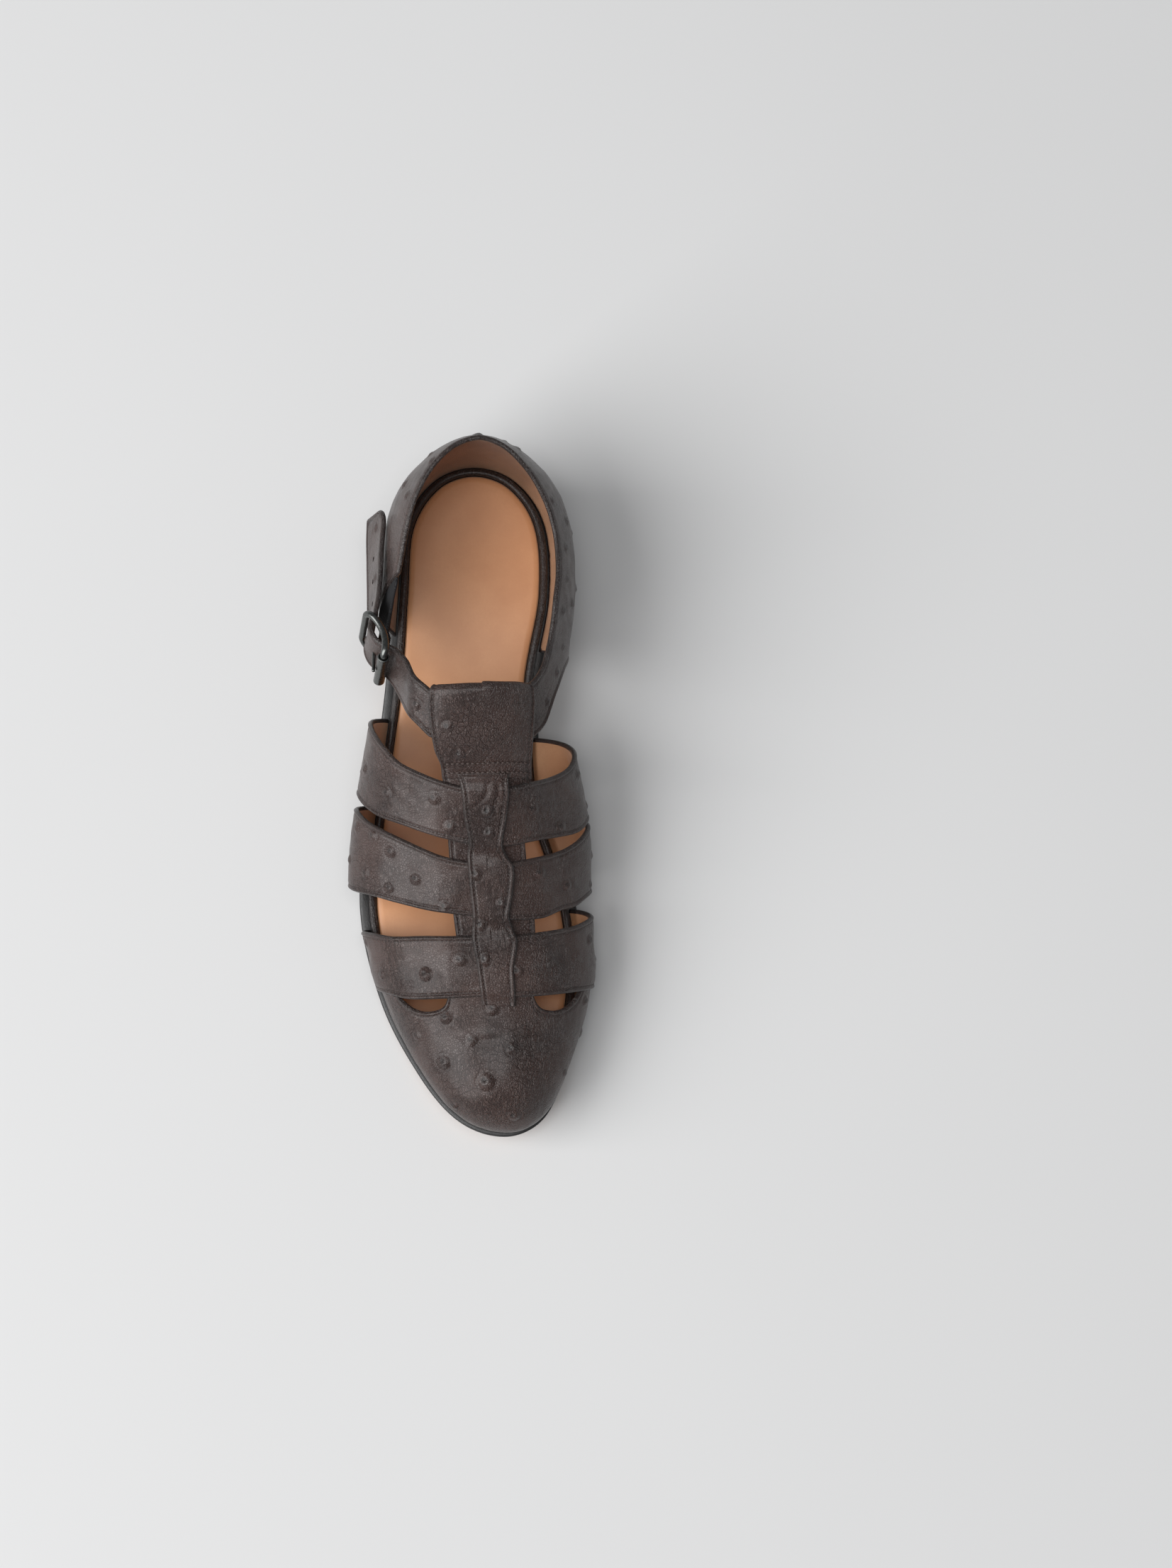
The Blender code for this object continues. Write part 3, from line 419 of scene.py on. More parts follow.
def strip_surface(u, v):
    station = strip_station(v)
    turn = spline(STRIP, station, 1) + (spline(STRIP, station, 2) - spline(STRIP, station, 1)) * u
    return last_point(station, turn)


def in_buckle(ahead, up, out):
    """Points in the buckle's own frame, its origin on the centre bar."""
    a = BUCKLE_AT[1] * LENGTH
    origin = place(BUCKLE_AT[0] * BALL_WIDTH, a, deck(a) + BUCKLE_AT[2] * LAST_HEIGHT)
    outward = np.cross(BUCKLE_AHEAD, BUCKLE_UP)
    outward /= np.linalg.norm(outward)
    upward = np.cross(outward, BUCKLE_AHEAD)
    ahead, up, out = (np.asarray(part, float)[..., None] for part in np.broadcast_arrays(ahead, up, out))
    return origin + BUCKLE_AHEAD * ahead + upward * up + outward * out


def wrap_edge(row, upper, layer):
    station, lift = (row[2], row[3]) if upper else (row[0], row[1])
    return skin(abs(station), 2 - lift if station >= 0 else lift, layer)


def thread_edge(row, upper):
    ahead, out = (row[1], row[3]) if upper else (row[0], row[2])
    half = STRAP_WIDTH / 2 * row[5] * (1 if upper else -1)
    return in_buckle(ahead * ROLLER_AT, half + row[4] * ROLLER_AT, out * ROLLER_AT)


def curve_through(points, at):
    """Smooth points on a row of points, at counted in rows."""
    points = np.asarray(points, float)
    final = len(points) - 1
    at = np.clip(at, 0.0, float(final))
    k = np.minimum(at.astype(int), final - 1)
    t = (at - k)[..., None]
    p0, p1 = points[np.maximum(k - 1, 0)], points[k]
    p2, p3 = points[k + 1], points[np.minimum(k + 2, final)]
    return 0.5 * (2 * p1 + (p2 - p0) * t + (2 * p0 - 5 * p1 + 4 * p2 - p3) * t**2
                  + (3 * p1 - p0 - 3 * p2 + p3) * t**3)


def wrap_surface_maker():
    edges = [[], []]
    for row in WRAP[-2:]:
        for side in (0, 1):
            edges[side].append(wrap_edge(row, side == 1, UNDER_LEATHER * row[4] + LEATHER / 2))
    for row in THREAD:
        for side in (0, 1):
            edges[side].append(thread_edge(row, side == 1))
    on_last = [(float(i), *row) for i, row in enumerate(WRAP)]
    first_free = len(WRAP) - 2
    final = len(WRAP) + len(THREAD) - 1

    def surface(u, v):
        u, at = np.broadcast_arrays(np.asarray(u, float), np.asarray(v, float) * final)
        blend = np.clip(at - first_free, 0.0, 1.0)
        blend = (blend * blend * (3 - 2 * blend))[..., None]
        low_edge = curve_through(edges[0], at - first_free)
        free = low_edge + (curve_through(edges[1], at - first_free) - low_edge) * u[..., None]
        station = spline(on_last, at, 1) + (spline(on_last, at, 3) - spline(on_last, at, 1)) * u
        low = straight(on_last, at, 2)
        lift = low + (spline(on_last, at, 4) - low) * u
        layer = UNDER_LEATHER * spline(on_last, at, 5) + LEATHER / 2
        worn = skin(np.abs(station), np.where(station >= 0, 2 - lift, lift), layer)
        return worn + (free - worn) * blend
    return surface


def elastic_surface(u, v):
    """From the quarter's front edge, v 0, to the bar, v 1; u runs up."""
    u, v = np.broadcast_arrays(np.asarray(u, float), np.asarray(v, float))
    share = ELASTIC_FROM + ELASTIC_SPAN * u
    low_station, _, high_station, high_lift, _ = WRAP[0]
    station = -(low_station + (high_station - low_station) * share) + ELASTIC_TUCK
    lift = high_lift * share
    points = [skin(station, lift, LEATHER / 2),
              skin(station + ELASTIC_LEAD, lift, LEATHER / 2 + ELASTIC_STANDOFF)]
    for ahead, out in reversed(STRETCH):
        points.append(in_buckle(ahead * ROLLER_AT, ELASTIC_WIDTH * (u - 0.5), out * ROLLER_AT))
    points = np.stack(points)
    at = v * (len(points) - 1)
    k = np.minimum(at.astype(int), len(points) - 2)
    t = (at - k)[..., None]

    def pick(index):
        index = np.clip(index, 0, len(points) - 1)
        return np.take_along_axis(points, np.broadcast_to(index, u.shape)[None, ..., None], axis=0)[0]

    p0, p1, p2, p3 = pick(k - 1), pick(k), pick(k + 1), pick(k + 2)
    return 0.5 * (2 * p1 + (p2 - p0) * t + (2 * p0 - 5 * p1 + 4 * p2 - p3) * t**2
                  + (3 * p1 - p0 - 3 * p2 + p3) * t**3)


# Creases: station and turn along each line, width, depth
CREASES = {
    "toe_piece": [
        ([(0.74, 0.62), (0.77, 0.80), (0.78, 1.00)], 0.0013, 0.00022),
        ([(0.76, 1.10), (0.79, 1.24), (0.80, 1.40)], 0.0014, 0.00020),
    ],
    "loop": [
        ([(0.432, 1.26), (0.448, 1.08), (0.466, 0.92)], 0.0012, 0.00014),
        ([(0.428, 1.12), (0.440, 0.98), (0.452, 0.86)], 0.0012, 0.00014),
    ],
    "central_strip": [
        ([(0.500, 1.02), (0.512, 1.00), (0.524, 0.95)], 0.0010, 0.00030),
        ([(0.500, 1.08), (0.514, 1.07), (0.530, 1.02)], 0.0010, 0.00030),
    ],
    "quarter_strap": [
        ([(0.330, 1.62), (0.350, 1.70), (0.362, 1.80)], 0.0018, 0.00030),
        ([(0.290, 1.62), (0.318, 1.66), (0.345, 1.72)], 0.0020, 0.00026),
    ],
}


# Lights: name, place, size, power; all of them aim at one spot
LIGHTS = [("left", (-2.60, -0.90, 2.30), 3.1, 172.0), ("overhead", (-0.20, -0.35, 3.2), 1.4, 30.0)]
LIT_AT = (0.0, -0.12, 0.03)


# Mesh helpers
def make_object(name, points, faces, materials, marks=None, values=None, flat=False):
    mesh = bpy.data.meshes.new(name)
    mesh.from_pydata(np.asarray(points, float).reshape(-1, 3).tolist(), [], faces)
    mesh.validate()
    for material in materials:
        mesh.materials.append(material)
    if marks is not None and len(mesh.polygons) == len(marks):
        mesh.polygons.foreach_set("material_index", np.asarray(marks, np.int32))
    if not flat:
        mesh.polygons.foreach_set("use_smooth", np.ones(len(mesh.polygons), bool))
    for key, numbers in (values or {}).items():
        layer = mesh.attributes.new(key, "FLOAT", "POINT")
        layer.data.foreach_set("value", np.asarray(numbers, np.float32).ravel())
    mesh.update()
    obj = bpy.data.objects.new(name, mesh)
    bpy.context.scene.collection.objects.link(obj)
    return obj


def settle(obj, slot, *nodes):
    """Rides on the shoe and stands for CAD nodes; its slot argument is not used."""
    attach(obj, "root")
    if nodes:
        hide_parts(*nodes)
    return obj


def grid_faces(count_u, count_v, start=0, turned=False):
    i, j = np.meshgrid(np.arange(count_u - 1), np.arange(count_v - 1), indexing="ij")
    first = start + i * count_v + j
    quads = np.stack([first, first + count_v, first + count_v + 1, first + 1], -1).reshape(-1, 4)
    return (quads[:, ::-1] if turned else quads)


def ripple(points, size, seed):
    """Smooth uneven field between about -1 and 1, with swells of a given size."""
    rng = np.random.default_rng(seed)
    total = np.zeros(points.shape[:-1])
    for _ in range(7):
        wave = rng.normal(size=3)
        wave *= 2 * np.pi / (size * rng.uniform(0.7, 1.6) * np.linalg.norm(wave))
        total += np.sin(points @ wave + rng.uniform(0, 2 * np.pi))
    return total / 3.2


def spread(length, pitch, near, far, near_skew, far_skew):
    """Distances across a sheet, row by row, close together at its dressed edges."""
    steps = np.array(EDGE_STEPS)
    head = steps[:, None] / near_skew if near else np.zeros((1, len(length)))
    tail = steps[:, None] / far_skew if far else np.zeros((1, len(length)))
    share = np.minimum(1.0, 0.92 * length / np.maximum(head[-1] + tail[-1], 1e-9))
    head, tail = head * share, tail * share
    count = max(int(np.max(length) / pitch), 3)
    t = np.linspace(0.0, 1.0, count + 1)[1:-1, None]
    middle = head[-1] + (length - tail[-1] - head[-1]) * t
    return np.concatenate([head, middle, length - tail[::-1]])


def even_layer(low):
    """One depth for the lining side of a whole sheet."""
    return lambda u, v: np.full(np.shape(u), low)


def lay_sheet(name, surface, low, thickness, pitch, flip=1.0, edges=(True, True), ends=(False, False),
              fold=False, at=0.5, v_span=(0.0, 1.0)):
    """Grid of a leather sheet with the distance of each point to the nearest dressed edge."""
    v_fine = np.linspace(*v_span, 700)
    line = surface(np.full_like(v_fine, at), v_fine)
    run = np.concatenate([[0.0], np.cumsum(np.linalg.norm(np.diff(line, axis=0), axis=1))])
    rows = spread(np.array([run[-1]]), pitch, ends[0], ends[1], np.ones(1), np.ones(1))[:, 0]
    v = np.interp(rows, run, v_fine)
    if fold:
        v = (v + 1 - v[::-1]) / 2
    u_fine = np.linspace(0.0, 1.0, 240)
    dense = surface(u_fine[:, None], v[None, :])
    lengths = np.concatenate([np.zeros((1, len(v))),
                              np.cumsum(np.linalg.norm(np.diff(dense, axis=0), axis=2), axis=0)])
    skews = []
    for side, inner in ((0, 2), (-1, -3)):
        edge = np.gradient(dense[side], axis=0)
        edge /= np.maximum(np.linalg.norm(edge, axis=1, keepdims=True), 1e-12)
        inward = dense[inner] - dense[side]
        inward /= np.maximum(np.linalg.norm(inward, axis=1, keepdims=True), 1e-12)
        skew = np.clip(np.linalg.norm(np.cross(edge, inward), axis=1), 0.45, 1.0)
        padded = np.pad(skew, 3, mode="edge")
        skews.append(np.convolve(padded, np.ones(7) / 7, mode="valid"))
    reach = spread(lengths[-1], pitch, edges[0], edges[1], skews[0], skews[1])
    u = np.stack([np.interp(reach[:, j], lengths[:, j], u_fine) for j in range(len(v))], 1)
    v = np.broadcast_to(v, u.shape)
    sheet = {"name": name, "u": u, "v": v, "thickness": thickness, "fold": fold, "flip": flip}
    sheet["point"] = surface(u, v)
    sheet["normal"] = grid_normals(sheet["point"], flip, fold)
    sheet["low"] = np.broadcast_to(low(u, v), u.shape)
    far = np.full(u.shape, 1.0)
    distance = [reach * skews[0] if edges[0] else far,
                (lengths[-1] - reach) * skews[1] if edges[1] else far,
                np.broadcast_to(rows if ends[0] else far, u.shape),
                np.broadcast_to(rows[-1] - rows if ends[1] else far, u.shape)]
    sheet["side"] = distance
    sheet["edge"] = np.minimum.reduce(distance)
    sheet["lift"] = np.zeros(u.shape)
    sheet["quill"] = np.zeros(u.shape)
    return sheet


def top_points(sheet, with_lift=True):
    height = sheet["low"] + sheet["thickness"]
    if with_lift:
        height = height + sheet["lift"]
    return sheet["point"] + sheet["normal"] * height[..., None]


def dress_edges(sheet, bead=0.00028, groove=0.00026):
    """Folded edge and stitch groove."""
    d = sheet["edge"]
    sheet["lift"] += bead * np.exp(-((d - 0.0010) / 0.00055) ** 2)
    sheet["lift"] -= groove * np.exp(-((d - EDGE_STEPS[STITCH_COLUMN]) / 0.00042) ** 2)
    sheet["lift"] += 0.10 * bead * np.exp(-((d - 0.0032) / 0.0009) ** 2)


def dress_surface(sheet, swell, seed, size=0.016):
    """Soft uneven hang of the leather."""
    inside = np.clip(sheet["edge"] / 0.004, 0.0, 1.0)
    points = sheet["point"]
    sheet["lift"] += swell * inside * ripple(points, size, seed)
    sheet["lift"] += 0.35 * swell * inside * ripple(points, size / 3, seed + 1)


def crease(sheet, line, width, depth):
    """Soft trough with a ridge beside it, along points of the last."""
    path = curve_through([last_point(s, t) for s, t in line], np.linspace(0, len(line) - 1, 60))
    flat = sheet["point"].reshape(-1, 3)
    near = np.full(len(flat), 1.0)
    share = np.zeros(len(flat))
    for k, at in enumerate(path):
        gap = np.linalg.norm(flat - at, axis=1)
        closer = gap < near
        near[closer] = gap[closer]
        share[closer] = k / (len(path) - 1)
    fade = np.sin(np.pi * np.clip(share, 0.03, 0.97)) ** 0.7
    shape = -np.exp(-(near / width) ** 2) + 0.55 * np.exp(-((near - 2.1 * width) / (1.1 * width)) ** 2)
    sheet["lift"] += (depth * fade * shape).reshape(sheet["u"].shape)


def raise_quill(sheet, at, size):
    """Knob of a quill with its pit and the ring that it pulls round itself; a mask marks painted shade in
    the pit and the ring.
    """
    gap = sheet["point"] + sheet["normal"] * (sheet["low"] + sheet["thickness"])[..., None] - at
    r = np.linalg.norm(gap, axis=-1)
    radius = QUILL_RADIUS * size
    lean = np.array(QUILL_LEAN)
    side = gap @ lean
    pit = np.linalg.norm(gap + lean * radius * 0.42, axis=-1)
    sheet["lift"] += QUILL_HEIGHT * size * (np.exp(-(r / radius) ** 2.6) * (1 + 0.25 * side / radius)
                                            - 0.75 * np.exp(-(pit / (0.40 * radius)) ** 2)
                                            - 0.16 * np.exp(-((r - 1.55 * radius) / (0.35 * radius)) ** 2))
    # Mask of painted shade: the pit, which is the quill's hole, and the trough ring round the knob are
    # darkened in the leather's colour.
    sheet["quill"] = np.maximum(sheet["quill"], np.exp(-(pit / (0.62 * radius)) ** 2))
    sheet["quill"] = np.maximum(sheet["quill"], 0.28 * np.exp(-((r - 1.5 * radius) / (0.4 * radius)) ** 2))


def profile(sheet):
    """Share of the half thickness left near a rounded edge."""
    radius = sheet["thickness"] / 2
    inner = np.clip(1 - sheet["edge"] / radius, 0.0, 1.0)
    return np.maximum(np.sqrt(np.maximum(1 - inner**2, 0.0)), 0.10)


def mesh_sheet(sheet, leather, lining, turned_in, cut_edge=False):
    """Closed mesh of a sheet: grain side, lining side and the wall round its edge."""
    count_u, count_v = sheet["u"].shape
    half = sheet["thickness"] / 2
    middle = sheet["low"] + half
    share = profile(sheet)
    top = sheet["point"] + sheet["normal"] * (middle + half * share + sheet["lift"])[..., None]
    under = 0.3 * sheet["lift"] * np.clip(sheet["edge"] / 0.002, 0.0, 1.0)
    bottom = sheet["point"] + sheet["normal"] * (middle - half * share + under)[..., None]
    for side in (top, bottom):
        side[..., 2] = np.maximum(side[..., 2], deck(HEEL_BACK - side[..., 1]))
    total = count_u * count_v
    points = np.concatenate([top.reshape(-1, 3), bottom.reshape(-1, 3)])
    upper = grid_faces(count_u, count_v)
    lower = grid_faces(count_u, count_v, total, True)
    index = np.arange(total).reshape(count_u, count_v)
    if sheet["fold"]:
        rim = np.concatenate([index[::-1, 0], index[0, 1:], index[1:, -1]])
    else:
        rim = np.concatenate([index[::-1, 0], index[0, 1:], index[1:, -1], index[-1, -2:0:-1]])
        rim = np.append(rim, rim[0])
    wall = np.stack([rim[:-1], rim[1:], rim[1:] + total, rim[:-1] + total], -1)
    depth = sheet["edge"].ravel()[lower[:, 0] - total]
    marks = np.concatenate([np.zeros(len(upper)), np.where(depth < turned_in, 0, 1),
                            np.full(len(wall), 1 if cut_edge else 0)])
    faces = np.concatenate([upper, lower, wall])
    if sheet["fold"]:
        last_row = index[-1]
        target = np.arange(2 * total)
        for base in (0, total):
            target[base + last_row[count_v // 2:]] = base + last_row[::-1][count_v // 2:]
        faces = target[faces]
    values = {"quill": np.concatenate([sheet["quill"].ravel(), np.zeros(total)]),
              "edge": np.tile(sheet["edge"].ravel() * 1000, 2)}
    kept, kept_marks = [], []
    for face, mark in zip(faces.tolist(), marks.tolist()):
        face = list(dict.fromkeys(face))
        if len(face) > 2:
            kept.append(face if sheet["flip"] > 0 else face[::-1])
            kept_marks.append(mark)
    sheet["top"] = top
    return make_object(sheet["name"], points, kept, [leather, lining], kept_marks, values)


def stitch_rows(sheet, side, pitch, start=0.0, end=1.0, column=STITCH_COLUMN):
    """Places of stitches along one edge of a sheet: middle, direction, normal."""
    pick = column if side == 0 else -1 - column
    line, normal = sheet["top"][pick], sheet["normal"][pick]
    run = np.concatenate([[0.0], np.cumsum(np.linalg.norm(np.diff(line, axis=0), axis=1))])
    at = np.arange(run[-1] * start + pitch, run[-1] * end - pitch, pitch)
    middle = np.stack([np.interp(at, run, line[:, k]) for k in range(3)], 1)
    ahead = np.stack([np.interp(at + pitch / 4, run, line[:, k]) for k in range(3)], 1) - middle
    ahead /= np.linalg.norm(ahead, axis=1, keepdims=True)
    up = np.stack([np.interp(at, run, normal[:, k]) for k in range(3)], 1)
    return middle, ahead, up


def capsules(rows, length, radius, sides=6):
    """Small rounded threads as one joined mesh."""
    rings = [(-0.5, 0.25), (-0.38, 0.75), (0.0, 1.0), (0.38, 0.75), (0.5, 0.25)]
    points, faces, start = [], [], 0
    angles = np.arange(sides) * 2 * np.pi / sides
    for middle, ahead, up in rows:
        side = np.cross(up, ahead)
        side /= np.linalg.norm(side, axis=1, keepdims=True)
        top = np.cross(ahead, side)
        for m, f, s, t in zip(middle, ahead, side, top):
            for place_at, size in rings:
                for angle in angles:
                    points.append(m + f * place_at * length + (s * math.cos(angle) * 1.1
                                  + t * math.sin(angle)) * radius * size)
            for k in range(len(rings) - 1):
                for n in range(sides):
                    a, b = start + k * sides + n, start + k * sides + (n + 1) % sides
                    faces.append((a, b, b + sides, a + sides))
            faces.append(tuple(start + n for n in range(sides))[::-1])
            faces.append(tuple(start + (len(rings) - 1) * sides + n for n in range(sides)))
            start += len(rings) * sides
    return points, faces


# Rims and plates of the sole
def rim_stations(count):
    """Stations round the outline: lateral heel to toe, then medial toe to heel."""
    one = np.linspace(0.0, 1.0, count)
    station = np.concatenate([one, one[-2:0:-1]])
    medial = np.concatenate([np.zeros(count, bool), np.ones(count - 2, bool)])
    return station, medial


def rim_mesh(name, rings, materials, marks, count=200, closed=False, columns=9):
    """Solid of rings (inset(station), height(a)) round the outline, capped or closed on itself."""
    station, medial = rim_stations(count)
    loops = []
    for inset, height in rings:
        at = outline_point(station, medial, inset(station))
        loops.append(place(at[:, 0], at[:, 1], height(at[:, 1])))
    around = len(station)
    points = list(np.concatenate(loops))
    faces, face_marks = [], []
    spans = len(rings) if closed else len(rings) - 1
    for k in range(spans):
        near, far = k * around, ((k + 1) % len(rings)) * around
        for n in range(around):
            m = (n + 1) % around
            faces.append((near + n, far + n, far + m, near + m))
            face_marks.append(marks[k])
    if not closed:
        for ring, mark, turned in ((0, marks[0], True), (len(rings) - 1, marks[-1], False)):
            height = rings[ring][1]
            base = ring * around
            previous = None
            for n in range(count):
                left, right = base + n, base + (around - n) % around
                row = [left]
                if left != right and n < count - 1:
                    for c in range(1, columns):
                        at = points[left] + (points[right] - points[left]) * c / columns
                        at = np.array((at[0], at[1], height(HEEL_BACK - at[1])))
                        points.append(at)
                        row.append(len(points) - 1)
                    row.append(right)
                if previous is not None:
                    for c in range(columns):
                        a, b = previous[min(c, len(previous) - 1)], previous[min(c + 1, len(previous) - 1)]
                        d, e = row[min(c, len(row) - 1)], row[min(c + 1, len(row) - 1)]
                        face = list(dict.fromkeys((a, d, e, b)))
                        if len(face) > 2:
                            faces.append(face if turned else face[::-1])
                            face_marks.append(mark)
                previous = row
    return make_object(name, points, faces, materials, face_marks)


def flat_inset(amount):
    return lambda station: np.full_like(station, amount)


def build_sole(looks):
    def under(extra):
        return lambda s: WELT_PROUD + BALL_WIDTH * spline(UNDERCUT, s, 1) + extra

    def top(a):
        return underside(a) + OUTSOLE

    def bottom(extra):
        return lambda a: underside(a) + extra

    rings = [(flat_inset(WELT_PROUD + 0.0005), top), (flat_inset(WELT_PROUD), lambda a: top(a) - 0.0004),
             (lambda s: WELT_PROUD + 0.45 * BALL_WIDTH * spline(UNDERCUT, s, 1), bottom(0.0026)),
             (under(0.0), bottom(0.0009)), (under(0.0003), bottom(0.0004)), (under(0.0010), bottom(0.0)),
             (under(0.0024), bottom(0.0)), (under(0.0027), bottom(0.00032)), (under(0.0030), bottom(0.0)),
             (under(0.0090), bottom(0.0))]
    settle(rim_mesh("outsole_body", rings, [looks["sole"], looks["edge"]], [1, 1, 1, 1, 0, 0, 0, 0, 0]),
           "sole_leather", "outsole")
    high = lambda a: welt_floor(a) + WELT
    rings = [(flat_inset(0.0), lambda a: high(a) - 0.0008), (flat_inset(0.0), lambda a: high(a) - 0.0022),
             (flat_inset(0.00025), lambda a: high(a) - 0.0026),
             (flat_inset(0.0), lambda a: high(a) - 0.0030),
             (flat_inset(0.0), lambda a: welt_floor(a) + 0.0004), (flat_inset(0.0004), welt_floor),
             (flat_inset(WELT_WIDTH), welt_floor), (flat_inset(WELT_WIDTH), high),
             (flat_inset(0.0018), high), (flat_inset(0.0006), lambda a: high(a) - 0.0001),
             (flat_inset(0.0002), lambda a: high(a) - 0.0004)]
    settle(rim_mesh("welt_body", rings, [looks["edge"]], [0] * len(rings), closed=True),
           "edge_leather", "welt")

    def rim(extra):
        return lambda s: BALL_WIDTH * spline(FEATHER, s, 1) + GAP + extra

    section = [(0.0, 0.0), (0.0, 0.78), (0.10, 0.92), (0.30, 0.99), (0.55, 1.0), (0.80, 0.96), (0.95, 0.86),
               (1.0, 0.70), (1.0, 0.0)]
    rings = [(rim(x * RIM_WIDTH), lambda a, z=z: deck(a) + z * RIM_HEIGHT) for x, z in section]
    settle(rim_mesh("insole_edge", rings[::-1], [looks["leather"]], [0] * len(rings), closed=True),
           "upper_leather", "insole_binding")

    def foot(extra):
        return lambda s: BALL_WIDTH * spline(FEATHER, s, 1) + 2 * GAP + RIM_WIDTH + extra

    rings = [(foot(0.012), lambda a: deck(a) + INSOLE), (foot(0.003), lambda a: deck(a) + INSOLE),
             (foot(0.0008), lambda a: deck(a) + INSOLE - 0.0001),
             (foot(0.0), lambda a: deck(a) + INSOLE - 0.0008), (foot(0.0), lambda a: deck(a) + 0.0003),
             (foot(0.0004), deck), (foot(0.006), deck)]
    v = np.linspace(0.10, 0.90, 34)
    rows = []
    for ahead in WAIST_ROWS:
        at = heel_plan(np.ones_like(v), v, 0.0) + np.array((0.0, ahead))
        middle = place(at[:, 0], at[:, 1], underside(at[:, 1]) + 0.00005)
        line = np.gradient(middle, axis=0)
        line /= np.linalg.norm(line, axis=1, keepdims=True)
        rows.append((middle, line, np.broadcast_to((0.0, 0.0, -1.0), middle.shape)))
    points, faces = capsules(rows, 0.0011, 0.00018)
    settle(make_object("waist_stitches", points, faces, [looks["edge"]]), "sole_leather")
    settle(rim_mesh("insole_cover", rings, [looks["insole"]], [0] * 6), "lining_leather", "insole")


# Heel
def heel_plan(u, v, inset):
    station = math.acos(1 - 2 * BREAST_AT / LENGTH) / math.pi * u
    lateral = outline_point(station, False, np.full_like(station, HEEL_SET_IN + inset))
    medial = outline_point(station, True, np.full_like(station, HEEL_SET_IN + inset))
    at = lateral + (medial - lateral) * v[..., None]
    at[..., 1] -= BREAST_HOLLOW * (1 - (2 * v - 1) ** 2) * u**4 + inset * u**8
    return at


def heel_mesh(name, levels, materials, marks):
    """Heel block of levels (inset, height(a)) from the top down."""
    grid_u, grid_v = 46, 27
    u, v = np.meshgrid(np.linspace(0, 1, grid_u) ** 0.8, np.linspace(0, 1, grid_v), indexing="ij")
    index = np.arange(grid_u * grid_v).reshape(grid_u, grid_v)
    rim = np.concatenate([index[1:, 0], index[-1, 1:-1], index[:0:-1, -1], index[:1, 0]])
    points, faces, face_marks, previous = [], [], [], None
    for k, (inset, height) in enumerate(levels):
        at = heel_plan(u, v, inset).reshape(-1, 2)
        level = place(at[:, 0], at[:, 1], height(at[:, 1]))
        start = len(points)
        if k in (0, len(levels) - 1):
            points.extend(level)
            quads = grid_faces(grid_u, grid_v, start, k > 0)
            quads[quads < start + grid_v] = start
            faces.extend(tuple(dict.fromkeys(quad)) for quad in quads.tolist())
            face_marks.extend([marks[min(k, len(marks) - 1)]] * len(quads))
            ring = start + rim
        else:
            points.extend(level[rim])
            ring = start + np.arange(len(rim))
        if previous is not None:
            near, far = previous, ring
            for n in range(len(rim)):
                m = (n + 1) % len(rim)
                faces.append((int(near[n]), int(far[n]), int(far[m]), int(near[m])))
                face_marks.append(marks[k - 1])
        previous = ring
    used = sorted({corner for face in faces for corner in face})
    places = {corner: n for n, corner in enumerate(used)}
    faces = [tuple(places[corner] for corner in face) for face in faces]
    return make_object(name, [points[corner] for corner in used], faces, materials, face_marks)


def build_heel(looks):
    def share(t, drop=0.0):
        return lambda a: TOP_PIECE + GAP + (underside(a) - 2 * GAP - TOP_PIECE) * t - drop

    levels = [(0.0006, share(1.0)), (0.0, share(1.0, 0.0005))]
    for line in (0.72, 0.40):
        levels += [(0.0, share(line, -0.00028)), (0.00022, share(line)), (0.0, share(line, 0.00028))]
    levels += [(0.0, share(0.0, -0.0004)), (0.0004, share(0.0))]
    block = heel_mesh("heel_block", levels, [looks["edge"]], [0] * len(levels))
    settle(block, "edge_leather", "heel_stack")
    rows = []
    for u, v in PIN_PLACES:
        x, a = heel_plan(np.array(u), np.array(v), PIN_INSET)
        rows.append(tube([place(x, a, 0.0002), place(x, a, -0.00005)], PIN_RADIUS, 12))
    points, faces = join(rows)
    settle(make_object("heel_pins", points, faces, [looks["brass"]]), "buckle_metal")
    own = {"heel_top_leather": "top_piece", "heel_top_rubber": "rubber", "filler": "sole"}
    for node, look in own.items():
        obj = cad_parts[node]
        obj.data.materials.clear()
        obj.data.materials.append(looks[look])


# Buckle
def tube(points, radii, sides=24, closed=False):
    """Points and faces of a smooth wire along a line."""
    points = np.asarray(points, float)
    count = len(points)
    radii = np.broadcast_to(radii, count)
    if closed:
        tangent = np.roll(points, -1, axis=0) - np.roll(points, 1, axis=0)
    else:
        tangent = np.gradient(points, axis=0)
    tangent /= np.linalg.norm(tangent, axis=1, keepdims=True)
    side = np.cross(tangent[0], (0.137, 0.211, 0.968))
    rings = []
    angles = np.arange(sides) * 2 * np.pi / sides
    for at, ahead, radius in zip(points, tangent, radii):
        side = side - ahead * np.dot(side, ahead)
        side /= np.linalg.norm(side)
        top = np.cross(ahead, side)
        rings.append(at + (side * np.cos(angles)[:, None] + top * np.sin(angles)[:, None]) * radius)
    faces = []
    for i in range(count if closed else count - 1):
        far = (i + 1) % count
        shift = 0
        if closed and far == 0:
            shift = int(np.argmin(np.linalg.norm(rings[0] - rings[-1][0], axis=1)))
        for k in range(sides):
            m = (k + 1) % sides
            faces.append((i * sides + k, i * sides + m, far * sides + (m + shift) % sides,
                          far * sides + (k + shift) % sides))
    if not closed:
        faces.append(tuple(range(sides))[::-1])
        faces.append(tuple(range((count - 1) * sides, count * sides)))
    return np.concatenate(rings), faces


def join(parts):
    points, faces, start = [], [], 0
    for part_points, part_faces in parts:
        points.append(part_points)
        faces.extend([tuple(start + k for k in face) for face in part_faces])
        start += len(part_points)
    return np.concatenate(points), faces


def frame_height(ahead):
    return FRAME_BOW * (ahead / (ROLLER_AT if ahead > 0 else REAR_BAR_AT)) ** 2


